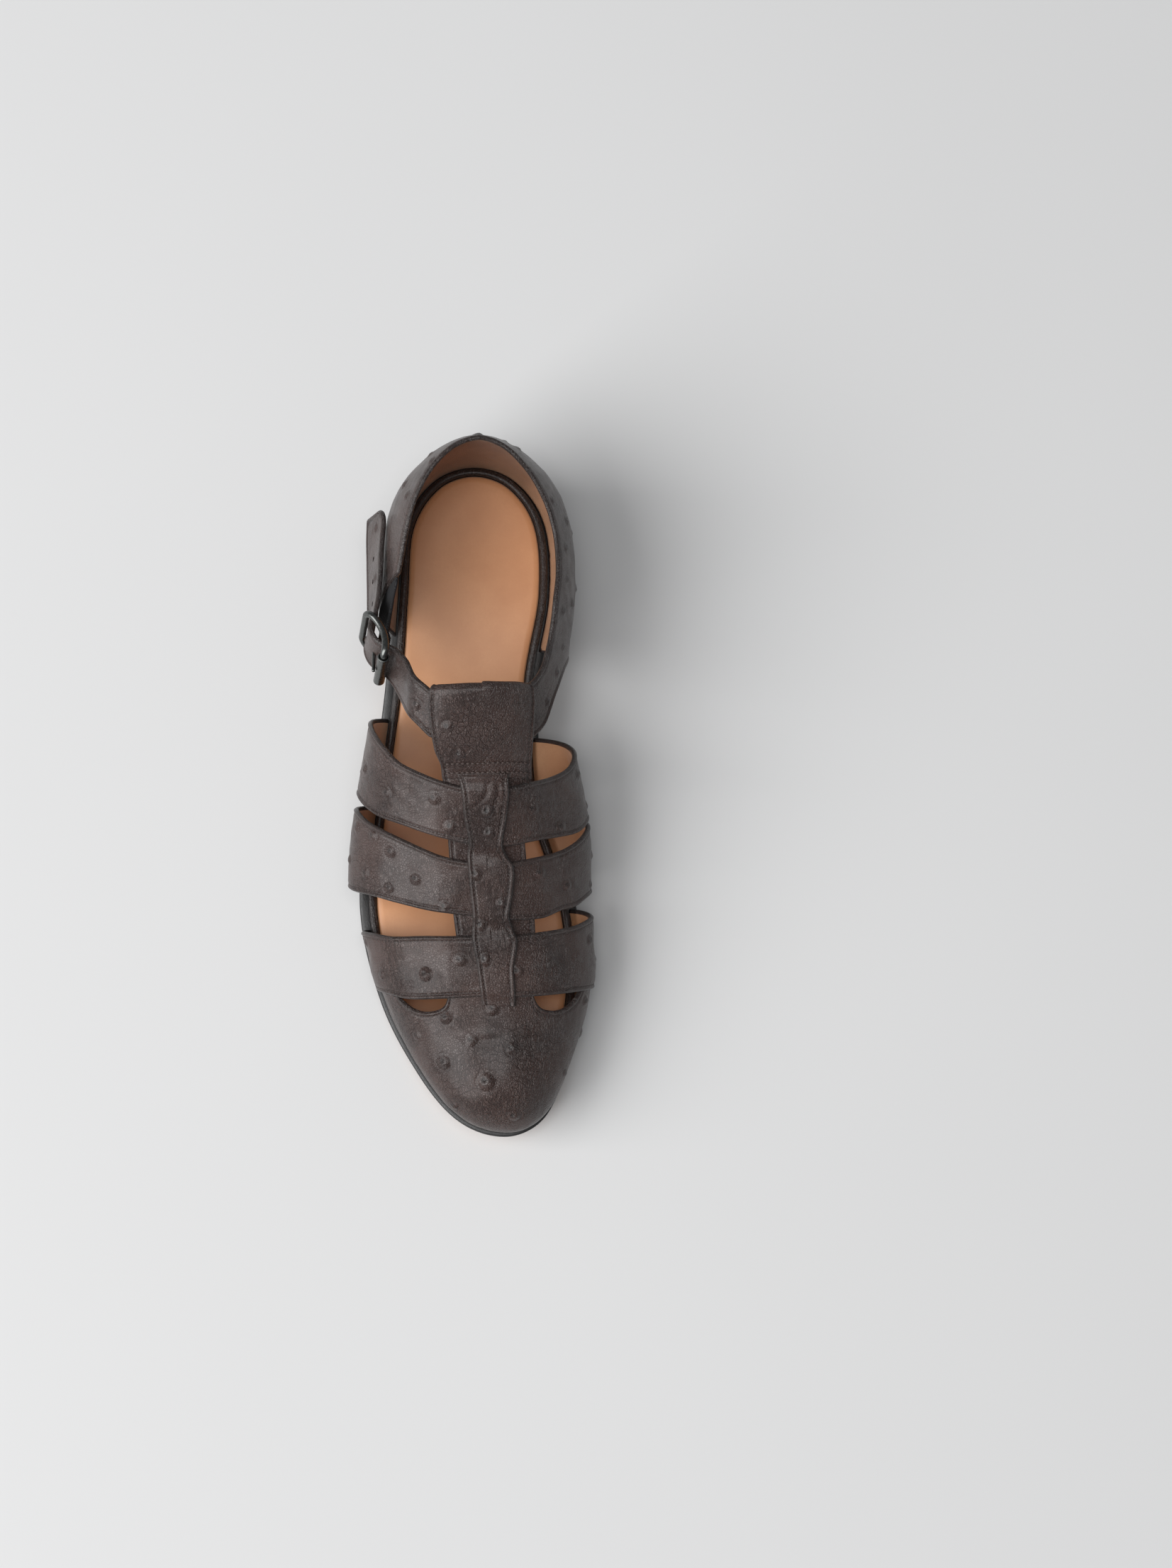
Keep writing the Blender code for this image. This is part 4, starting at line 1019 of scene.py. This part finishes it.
def half_width():
    return STRAP_WIDTH / 2 + STRAP_PLAY + WIRE


def frame_line():
    half = half_width()
    corners = [
        (ROLLER_AT, -half, FRONT_CORNER, -90), (ROLLER_AT, half, FRONT_CORNER, 0),
        (-REAR_BAR_AT, half, REAR_CORNER, 90), (-REAR_BAR_AT, -half, REAR_CORNER, 180),
    ]
    points = []
    for ahead, up, radius, first in corners:
        middle_ahead = ahead - math.copysign(radius, ahead)
        middle_up = up - math.copysign(radius, up)
        for k in range(16):
            angle = math.radians(first + 6 * k)
            at = middle_ahead + radius * math.cos(angle)
            points.append(in_buckle(at, middle_up + radius * math.sin(angle), frame_height(at)))
        if ahead * up > 0:
            shares = np.linspace(0.92, 0.08, 12) if ahead > 0 else np.linspace(0.08, 0.92, 12)
            for share in shares:
                at = share * (ROLLER_AT - FRONT_CORNER) - (1 - share) * (REAR_BAR_AT - REAR_CORNER)
                points.append(in_buckle(at, up, frame_height(at)))
    return points


def build_buckle(looks):
    half = half_width()
    bar = [in_buckle(0, up, 0) for up in np.linspace(-half, half, 12)]
    points, faces = join([tube(frame_line(), WIRE, closed=True), tube(bar, WIRE * 0.96)])
    settle(make_object("buckle_wire", points, faces, [looks["metal"]]), "buckle_metal", "buckle_frame")
    reach = half - WIRE - ROLLER_END
    outer = WIRE + GAP + ROLLER_WALL
    profile_rows = [(-1.0, -0.3), (-1.0, -0.1), (-0.985, 0.0), (-0.96, 0.0), (0.96, 0.0), (0.985, 0.0),
                    (1.0, -0.1), (1.0, -0.3)]
    line, radii = [], []
    for share, sink in profile_rows:
        line.append(in_buckle(ROLLER_AT, reach * share, FRAME_BOW))
        radii.append(outer + ROLLER_WALL * sink * (1.6 if abs(share) == 1.0 else 1.0))
    sides = 32
    points, faces = [], []
    up = in_buckle(0, 1, 0) - in_buckle(0, 0, 0)
    side = np.cross(up, (0.0, 0.0, 1.0))
    side /= np.linalg.norm(side)
    top = np.cross(up, side)
    rings = list(zip(line, radii)) + [(line[-1], WIRE + GAP), (line[0], WIRE + GAP)]
    for at, radius in rings:
        for k in range(sides):
            angle = 2 * math.pi * k / sides
            points.append(at + (side * math.cos(angle) + top * math.sin(angle)) * radius)
    for i in range(len(rings)):
        for k in range(sides):
            m, far = (k + 1) % sides, (i + 1) % len(rings)
            faces.append((i * sides + k, i * sides + m, far * sides + m, far * sides + k))
    settle(make_object("buckle_tube", points, faces, [looks["metal"]]), "buckle_metal", "buckle_roller")
    eye = WIRE + GAP + PRONG
    rest = FRAME_BOW + WIRE + GAP + ROLLER_WALL + GAP + PRONG
    line, radii = [], []
    for k in range(33):
        angle = math.radians(-95 - 175 * k / 32)
        line.append(in_buckle(eye * math.cos(angle), 0, eye * math.sin(angle)))
        radii.append(PRONG)
    for share in np.linspace(0.06, 1.02, 20):
        line.append(in_buckle(ROLLER_AT * share, 0, eye + (rest - eye) * min(share, 1.0)))
        radii.append(PRONG * (1.0 - 0.28 * max(share - 0.4, 0.0)))
    points, faces = tube(line, radii, 16)
    settle(make_object("buckle_tongue", points, faces, [looks["metal"]]), "buckle_metal", "buckle_prong")


def build_elastic(looks):
    sheet = lay_sheet("elastic_band", elastic_surface, even_layer(-ELASTIC / 2), ELASTIC, 0.00045, flip=1.0)
    sheet["lift"] += 0.00016 * np.sin(sheet["u"] * 2 * np.pi * 11) * np.clip(sheet["edge"] / 0.001, 0, 1)
    settle(mesh_sheet(sheet, looks["elastic"], looks["elastic"], 0.0), "elastic_webbing", "elastic")


# Upper
def camera_ray(x, y):
    size = SENSOR / PICTURE[1]
    aim = Vector(((x - PICTURE[0] / 2) * size, (PICTURE[1] / 2 - y) * size, -LENS))
    return (CAMERA_TURN.to_matrix() @ aim).normalized()


def pixel_of(at):
    """Pixel of the photograph in which a point shows."""
    local = CAMERA_TURN.to_matrix().transposed() @ (Vector(at) - CAMERA_AT)
    size = SENSOR / PICTURE[1]
    reach = LENS / size / local.z
    return PICTURE[0] / 2 - local.x * reach, PICTURE[1] / 2 + local.y * reach


def punch_tail(strap, dark):
    """Round holes along the middle of the tail."""
    parts = []
    for behind in TAIL_HOLES:
        out = np.interp(-behind / ROLLER_AT, [-6.1, -4.46, -2.58, -1.0], [-1.88, -1.40, -0.695, -0.065])
        line = [in_buckle(-behind, 0.0, out * ROLLER_AT + depth) for depth in (-HOLE_REACH, HOLE_REACH)]
        parts.append(tube(line, HOLE_RADIUS, 20))
    points, faces = join(parts)
    cutter = make_object("tail_cutter", points, faces, [dark], flat=True)
    modifier = strap.modifiers.new("holes", "BOOLEAN")
    modifier.operation = "DIFFERENCE"
    modifier.solver = "EXACT"
    modifier.object = cutter
    shape = strap.evaluated_get(bpy.context.evaluated_depsgraph_get())
    punched = bpy.data.meshes.new_from_object(shape)
    strap.modifiers.remove(modifier)
    strap.data = punched
    bpy.data.objects.remove(cutter, do_unlink=True)


def place_quills(sheets):
    rng = random.Random(7)
    for sheet in sheets:
        spots = []
        top = top_points(sheet, False)
        tree = BVHTree.FromPolygons([Vector(p) for p in top.reshape(-1, 3).tolist()],
                                    grid_faces(*sheet["u"].shape).tolist())
        for x, y, size in QUILLS.get(sheet["name"], []):
            hit = tree.ray_cast(CAMERA_AT, camera_ray(x, y))
            if hit[0] is not None:
                spots.append((np.array(hit[0]), size))
        if sheet["name"] in ("toe_piece", "strap_a", "strap_b", "strap_c", "quarter_strap"):
            rows, columns = sheet["u"].shape
            for _ in range(HIDDEN_QUILLS * 4):
                i, j = rng.randrange(rows), rng.randrange(columns)
                at, normal = top[i, j], sheet["normal"][i, j]
                faces_camera = np.dot(normal, np.array(CAMERA_AT) - at) > HIDDEN_FACING
                apart = all(np.linalg.norm(at - other) > HIDDEN_APART for other, _ in spots)
                low = 0.018 if at[1] < -0.1 else 0.030
                if faces_camera or not apart or sheet["edge"][i, j] < 0.0045 or at[2] < low:
                    continue
                spots.append((at, rng.uniform(0.7, 1.05)))
        for at, size in spots:
            raise_quill(sheet, at, size)


def lay_upper():
    sheets = {}
    sheets["toe_piece"] = lay_sheet("toe_piece", toe_surface, even_layer(0.0), LEATHER, 0.00058,
                                    edges=(True, False), fold=True, at=0.3)
    crossing = {"strap_a": (STRAP_A, 0.0), "strap_b": (STRAP_B, 0.0), "strap_c": (STRAP_C, 1.0)}
    for name, (rows, lift) in crossing.items():
        sheets[name] = lay_sheet(name, cross_surface(rows), cross_layer(lift), LEATHER, 0.00066)
    for name, rows, flip in (("under_strap", UNDER, -1.0), ("loop", LOOP, 1.0)):
        sheets[name] = lay_sheet(name, path_surface(rows), even_layer(-UNDER_LEATHER / 2), UNDER_LEATHER,
                                 0.00062, flip=flip)
    sheets["central_strip"] = lay_sheet("central_strip", strip_surface,
                                        lambda u, v: LEATHER * spline(STRIP, strip_station(v), 3),
                                        LEATHER, 0.0005, flip=-1.0, ends=(True, False))
    sheets["quarter_strap"] = lay_sheet("quarter_strap", wrap_surface_maker(), even_layer(-LEATHER / 2),
                                        LEATHER, 0.00086, ends=(True, True))
    return sheets


def build_upper(looks):
    sheets = lay_upper()
    for k, sheet in enumerate(sheets.values()):
        dress_edges(sheet)
        dress_surface(sheet, 0.00013, 20 + k)
        for line, width, depth in CREASES.get(sheet["name"], []):
            crease(sheet, line, width, depth)
    place_quills(sheets.values())
    rows = []
    for name, sheet in sheets.items():
        lining = looks["suede"] if name == "quarter_strap" else looks["lining"]
        obj = mesh_sheet(sheet, looks["leather"], lining, 0.0016)
        if name == "quarter_strap":
            punch_tail(obj, looks["edge"])
        settle(obj, "upper_leather", *(["upper"] if name == "toe_piece" else []))
        sides = (0,) if name == "toe_piece" else (0, 1)
        for side in sides:
            rows.append(stitch_rows(sheet, side, 0.00160))
    points, faces = capsules(rows, 0.00112, 0.00023)
    settle(make_object("stitches", points, faces, [looks["thread"]]), "upper_leather")
    line = sheets["loop"]
    heavy = []
    middle_row = line["top"][line["u"].shape[0] // 2]
    heights = np.array([pixel_of(at)[1] for at in middle_row])
    outer = np.arange(len(heights)) > 0.36 * len(heights)
    for row in HEAVY_ROWS:
        pick = int(np.argmin(np.where(outer, np.abs(heights - row), 1e6)))
        middle = line["top"][8:-8, pick]
        run = np.concatenate([[0.0], np.cumsum(np.linalg.norm(np.diff(middle, axis=0), axis=1))])
        at = np.arange(0.0006, run[-1], 0.0021)
        spots = np.stack([np.interp(at, run, middle[:, k]) for k in range(3)], 1)
        ahead = np.stack([np.interp(at + 0.0005, run, middle[:, k]) for k in range(3)], 1) - spots
        ahead /= np.linalg.norm(ahead, axis=1, keepdims=True)
        up = np.broadcast_to(line["normal"][line["u"].shape[0] // 2, pick], spots.shape)
        heavy.append((spots + up * 0.0001, ahead, up))
    points, faces = capsules(heavy, 0.0016, 0.00042, 8)
    settle(make_object("heavy_stitches", points, faces, [looks["thread"]]), "upper_leather")
    return sheets


# Materials
def add(tree, kind, inputs=None, **settings):
    made = tree.nodes.new(kind)
    for key, value in settings.items():
        setattr(made, key, value)
    for key, value in (inputs or {}).items():
        if isinstance(value, bpy.types.NodeSocket):
            tree.links.new(value, made.inputs[key])
        else:
            made.inputs[key].default_value = value
    return made


def start_material(name):
    material = bpy.data.materials.new(name)
    material.use_nodes = True
    tree = material.node_tree
    shader = tree.nodes["Principled BSDF"]
    coords = add(tree, "ShaderNodeTexCoord").outputs["Object"]
    return material, tree, shader, coords


def noise(tree, coords, scale, detail=2.0, roughness=0.5, distortion=0.0):
    return add(tree, "ShaderNodeTexNoise", {"Vector": coords, "Scale": scale, "Detail": detail,
                                            "Roughness": roughness, "Distortion": distortion})


def span(tree, value, low, high, to_low=0.0, to_high=1.0):
    made = add(tree, "ShaderNodeMapRange", {"Value": value, "From Min": low, "From Max": high,
                                            "To Min": to_low, "To Max": to_high})
    return made.outputs["Result"]


def compute(tree, operation, first, second=0.0):
    return add(tree, "ShaderNodeMath", {0: first, 1: second}, operation=operation).outputs[0]


def blend_colour(tree, factor, first, second, kind="MIX"):
    made = add(tree, "ShaderNodeMix", {"Factor": factor}, data_type="RGBA", blend_type=kind)
    for index, value in ((6, first), (7, second)):
        if isinstance(value, bpy.types.NodeSocket):
            tree.links.new(value, made.inputs[index])
        else:
            made.inputs[index].default_value = (*value, 1.0)
    return made.outputs[2]


def bump(tree, height, distance, strength=1.0):
    inputs = {"Height": height, "Distance": distance, "Strength": strength}
    return add(tree, "ShaderNodeBump", inputs).outputs[0]


def cracked(tree, coords, scale):
    """Distance from the borders of a net of cells."""
    inputs = {"Vector": coords, "Scale": scale}
    return add(tree, "ShaderNodeTexVoronoi", inputs, feature="DISTANCE_TO_EDGE").outputs["Distance"]


def bump_noise(tree, coords, scale, detail, depth):
    return bump(tree, noise(tree, coords, scale, detail).outputs["Fac"], depth)


def grain_leather():
    material, tree, shader, coords = start_material("quill_leather")
    warp = noise(tree, coords, 420.0, 2.0)
    moved = add(tree, "ShaderNodeVectorMath", {0: warp.outputs["Color"], 1: (0.0011, 0.0011, 0.0011)},
                operation="MULTIPLY").outputs[0]
    warped = add(tree, "ShaderNodeVectorMath", {0: coords, 1: moved}, operation="ADD").outputs[0]
    pebble = span(tree, cracked(tree, warped, 980.0), 0.0, 0.16)
    lines = add(tree, "ShaderNodeMapping", {"Vector": warped, "Rotation": (0.0, 0.0, 0.75),
                                            "Scale": (1.0, 0.22, 1.0)}).outputs[0]
    wrinkle = noise(tree, lines, 620.0, 3.0, 0.55)
    ridged = compute(tree, "ABSOLUTE", compute(tree, "SUBTRACT", wrinkle.outputs["Fac"], 0.5))
    trough = span(tree, ridged, 0.0, 0.05)
    patch = span(tree, noise(tree, coords, 75.0, 2.0).outputs["Fac"], 0.42, 0.62)
    far_warp = noise(tree, coords, 150.0, 3.0)
    far_moved = add(tree, "ShaderNodeVectorMath", {0: far_warp.outputs["Color"], 1: (0.006, 0.006, 0.006)},
                    operation="MULTIPLY").outputs[0]
    far_warped = add(tree, "ShaderNodeVectorMath", {0: coords, 1: far_moved}, operation="ADD").outputs[0]
    crack = span(tree, cracked(tree, far_warped, 330.0), 0.0, 0.10)
    broad = span(tree, noise(tree, coords, 42.0, 2.0).outputs["Fac"], 0.40, 0.60)
    fine = noise(tree, coords, 4200.0, 2.0).outputs["Fac"]
    height = compute(tree, "MULTIPLY", pebble, 0.26)
    folds = compute(tree, "MULTIPLY", compute(tree, "MULTIPLY", trough, patch), 0.85)
    height = compute(tree, "ADD", height, folds)
    cracks = compute(tree, "MULTIPLY", compute(tree, "MULTIPLY", crack, broad), 0.60)
    height = compute(tree, "ADD", height, cracks)
    height = compute(tree, "ADD", height, compute(tree, "MULTIPLY", fine, 0.24))
    edge = add(tree, "ShaderNodeAttribute", attribute_name="edge").outputs["Fac"]
    quill = add(tree, "ShaderNodeAttribute", attribute_name="quill").outputs["Fac"]
    tone = span(tree, noise(tree, coords, 48.0, 3.0).outputs["Fac"], 0.32, 0.68)
    colour = blend_colour(tree, tone, (0.026, 0.0110, 0.0080), (0.050, 0.0235, 0.0175))
    # Painted shade: the borders of the grain's cells, the low lines of its bump, are darkened.
    colour = blend_colour(tree, span(tree, pebble, 0.0, 1.0, 0.30, 0.0), colour, (0.006, 0.004, 0.0035))
    # Painted shade: the pit and the trough ring of each quill knob are darkened.
    colour = blend_colour(tree, span(tree, quill, 0.15, 1.0, 0.0, 0.85), colour, (0.006, 0.004, 0.0035))
    colour = blend_colour(tree, span(tree, edge, 0.2, 1.5, 0.65, 0.0), colour, (0.012, 0.009, 0.008))
    # Painted shade: a band along the stitch groove is darkened.
    stitch_groove_shade = compute(tree, "ABSOLUTE", compute(tree, "SUBTRACT", edge, EDGE_STEPS[STITCH_COLUMN] * 1000))
    colour = blend_colour(tree, span(tree, stitch_groove_shade, 0.1, 0.5, 0.6, 0.0), colour, (0.008, 0.005, 0.0045))
    tree.links.new(colour, shader.inputs["Base Color"])
    rough = span(tree, noise(tree, coords, 160.0, 3.0).outputs["Fac"], 0.3, 0.7, 0.34, 0.50)
    tree.links.new(rough, shader.inputs["Roughness"])
    shader.inputs["Specular IOR Level"].default_value = 0.50
    shader.inputs["Coat Weight"].default_value = 0.36
    shader.inputs["Coat Roughness"].default_value = 0.30
    shader.inputs["Sheen Weight"].default_value = 0.04
    shader.inputs["Sheen Roughness"].default_value = 0.40
    tree.links.new(bump(tree, height, 0.00060), shader.inputs["Normal"])
    return material


def lining_leather(name, light, dark, fuzz, rough, depth):
    material, tree, shader, coords = start_material(name)
    tone = span(tree, noise(tree, coords, 60.0, 4.0).outputs["Fac"], 0.3, 0.7)
    colour = blend_colour(tree, tone, dark, light)
    fibre = noise(tree, coords, fuzz, 3.0, 0.6)
    colour = blend_colour(tree, span(tree, fibre.outputs["Fac"], 0.35, 0.65, 0.0, 0.28), colour, dark)
    tree.links.new(colour, shader.inputs["Base Color"])
    shader.inputs["Roughness"].default_value = rough
    shader.inputs["Sheen Weight"].default_value = 0.25
    tree.links.new(bump(tree, fibre.outputs["Fac"], depth), shader.inputs["Normal"])
    return material


def edge_leather():
    material, tree, shader, coords = start_material("black_edge")
    tone = noise(tree, coords, 500.0, 3.0)
    colour = blend_colour(tree, tone.outputs["Fac"], (0.006, 0.006, 0.006), (0.026, 0.025, 0.025))
    tree.links.new(colour, shader.inputs["Base Color"])
    tree.links.new(span(tree, tone.outputs["Fac"], 0.3, 0.7, 0.32, 0.5), shader.inputs["Roughness"])
    tree.links.new(bump_noise(tree, coords, 1800.0, 2.0, 0.00010), shader.inputs["Normal"])
    return material


def sole_leather():
    material, tree, shader, coords = start_material("sole_tan")
    tone = span(tree, noise(tree, coords, 35.0, 4.0, 0.6).outputs["Fac"], 0.3, 0.7)
    colour = blend_colour(tree, tone, (0.52, 0.27, 0.13), (0.70, 0.42, 0.24))
    lines = add(tree, "ShaderNodeMapping", {"Vector": coords, "Scale": (3.5, 0.5, 1.0)}).outputs[0]
    scuff = noise(tree, lines, 240.0, 4.0, 0.7)
    scuffed = span(tree, scuff.outputs["Fac"], 0.60, 0.72, 0.0, 0.5)
    colour = blend_colour(tree, scuffed, colour, (0.80, 0.62, 0.46))
    tree.links.new(colour, shader.inputs["Base Color"])
    shader.inputs["Roughness"].default_value = 0.48
    tree.links.new(bump_noise(tree, coords, 1500.0, 3.0, 0.00008), shader.inputs["Normal"])
    return material


def top_piece_leather():
    """Sole leather underneath, black wax on the wall."""
    material = sole_leather()
    material.name = "top_piece"
    tree = material.node_tree
    shader = tree.nodes["Principled BSDF"]
    tan = shader.inputs["Base Color"].links[0].from_socket
    coords = add(tree, "ShaderNodeTexCoord").outputs["Object"]
    height = add(tree, "ShaderNodeSeparateXYZ", {0: coords}).outputs[2]
    wall = span(tree, height, 0.00004, 0.00012)
    tree.links.new(blend_colour(tree, wall, tan, (0.014, 0.013, 0.013)), shader.inputs["Base Color"])
    return material


def brass():
    material, tree, shader, coords = start_material("brass")
    tone = noise(tree, coords, 1200.0, 3.0)
    colour = blend_colour(tree, tone.outputs["Fac"], (0.45, 0.30, 0.12), (0.70, 0.50, 0.24))
    tree.links.new(colour, shader.inputs["Base Color"])
    shader.inputs["Metallic"].default_value = 1.0
    shader.inputs["Roughness"].default_value = 0.35
    return material


def rubber():
    material, tree, shader, coords = start_material("heel_rubber")
    lines = add(tree, "ShaderNodeMapping", {"Vector": coords, "Scale": (4.0, 0.6, 1.0)}).outputs[0]
    scratch = noise(tree, lines, 500.0, 4.0, 0.7)
    scratched = span(tree, scratch.outputs["Fac"], 0.5, 0.75)
    colour = blend_colour(tree, scratched, (0.03, 0.032, 0.034), (0.11, 0.115, 0.12))
    tree.links.new(colour, shader.inputs["Base Color"])
    shader.inputs["Roughness"].default_value = 0.6
    tree.links.new(bump(tree, scratch.outputs["Fac"], 0.00006), shader.inputs["Normal"])
    return material


def gunmetal():
    material, tree, shader, coords = start_material("gunmetal")
    tone = noise(tree, coords, 900.0, 3.0)
    colour = blend_colour(tree, tone.outputs["Fac"], (0.10, 0.105, 0.10), (0.17, 0.175, 0.17))
    tree.links.new(colour, shader.inputs["Base Color"])
    shader.inputs["Metallic"].default_value = 1.0
    tree.links.new(span(tree, tone.outputs["Fac"], 0.3, 0.7, 0.24, 0.36), shader.inputs["Roughness"])
    tree.links.new(bump_noise(tree, coords, 5000.0, 2.0, 0.00002), shader.inputs["Normal"])
    return material


def webbing():
    material, tree, shader, coords = start_material("black_elastic")
    inputs = {"Vector": coords, "Scale": 700.0, "Distortion": 1.5}
    weave = add(tree, "ShaderNodeTexWave", inputs, bands_direction="Z")
    colour = blend_colour(tree, weave.outputs["Fac"], (0.006, 0.006, 0.007), (0.028, 0.028, 0.030))
    tree.links.new(colour, shader.inputs["Base Color"])
    shader.inputs["Roughness"].default_value = 0.85
    shader.inputs["Specular IOR Level"].default_value = 0.25
    tree.links.new(bump(tree, weave.outputs["Fac"], 0.00012), shader.inputs["Normal"])
    return material


def thread():
    material, tree, shader, coords = start_material("dark_thread")
    twist = noise(tree, coords, 3500.0, 2.0)
    colour = blend_colour(tree, twist.outputs["Fac"], (0.022, 0.013, 0.011), (0.075, 0.050, 0.043))
    tree.links.new(colour, shader.inputs["Base Color"])
    shader.inputs["Roughness"].default_value = 0.55
    tree.links.new(bump(tree, twist.outputs["Fac"], 0.00006), shader.inputs["Normal"])
    return material


def floor_look():
    material, tree, shader, coords = start_material("pale_floor")
    tone = noise(tree, coords, 6.0, 2.0)
    colour = blend_colour(tree, tone.outputs["Fac"], (0.640, 0.640, 0.640), (0.650, 0.650, 0.650))
    tree.links.new(colour, shader.inputs["Base Color"])
    shader.inputs["Roughness"].default_value = 0.9
    shader.inputs["Specular IOR Level"].default_value = 0.1
    return material


def make_looks():
    return {
        "leather": grain_leather(), "edge": edge_leather(), "sole": sole_leather(), "rubber": rubber(),
        "top_piece": top_piece_leather(), "brass": brass(),
        "metal": gunmetal(), "elastic": webbing(), "thread": thread(),
        "lining": lining_leather("smooth_lining", (0.56, 0.30, 0.155), (0.42, 0.20, 0.095),
                                 1500.0, 0.55, 0.00004),
        "insole": lining_leather("insole_tan", (0.60, 0.30, 0.145), (0.53, 0.25, 0.115),
                                 900.0, 0.45, 0.00003),
        "suede": lining_leather("suede_tan", (0.46, 0.24, 0.13), (0.30, 0.15, 0.075),
                                2600.0, 0.95, 0.00030),
    }


# Stage, light and camera
def area_light(name, at, size, energy):
    light = bpy.data.lights.new(name, "AREA")
    light.shape = "RECTANGLE"
    light.size = size
    light.size_y = size
    light.energy = energy
    obj = bpy.data.objects.new(name, light)
    bpy.context.scene.collection.objects.link(obj)
    obj.location = at
    obj.rotation_euler = (Vector(LIT_AT) - Vector(at)).to_track_quat("-Z", "Y").to_euler()


def build_stage():
    corners = [(-3, -3, 0), (3, -3, 0), (3, 3, 0), (-3, 3, 0)]
    floor = make_object("floor", np.array(corners, float), [(0, 1, 2, 3)], [floor_look()], flat=True)
    floor.location.z = -0.0002
    world = bpy.data.worlds.new("studio")
    bpy.context.scene.world = world
    world.use_nodes = True
    back = world.node_tree.nodes["Background"]
    back.inputs["Color"].default_value = (0.95, 0.97, 1.0, 1.0)
    back.inputs["Strength"].default_value = 0.17
    for name, at, size, energy in LIGHTS:
        area_light(name, at, size, energy)
    bpy.context.scene.view_settings.view_transform = "Standard"
    camera = bpy.data.cameras.new("camera")
    camera.lens = LENS
    camera.sensor_fit = "VERTICAL"
    camera.sensor_height = SENSOR
    camera.clip_start = 0.01
    camera.clip_end = 20.0
    obj = bpy.data.objects.new("camera", camera)
    bpy.context.scene.collection.objects.link(obj)
    obj.location = CAMERA_AT
    obj.rotation_euler = CAMERA_TURN
    bpy.context.scene.camera = obj


def main():
    looks = make_looks()
    build_stage()
    build_sole(looks)
    build_heel(looks)
    build_buckle(looks)
    build_elastic(looks)
    build_upper(looks)
    bpy.context.view_layer.update()


main()
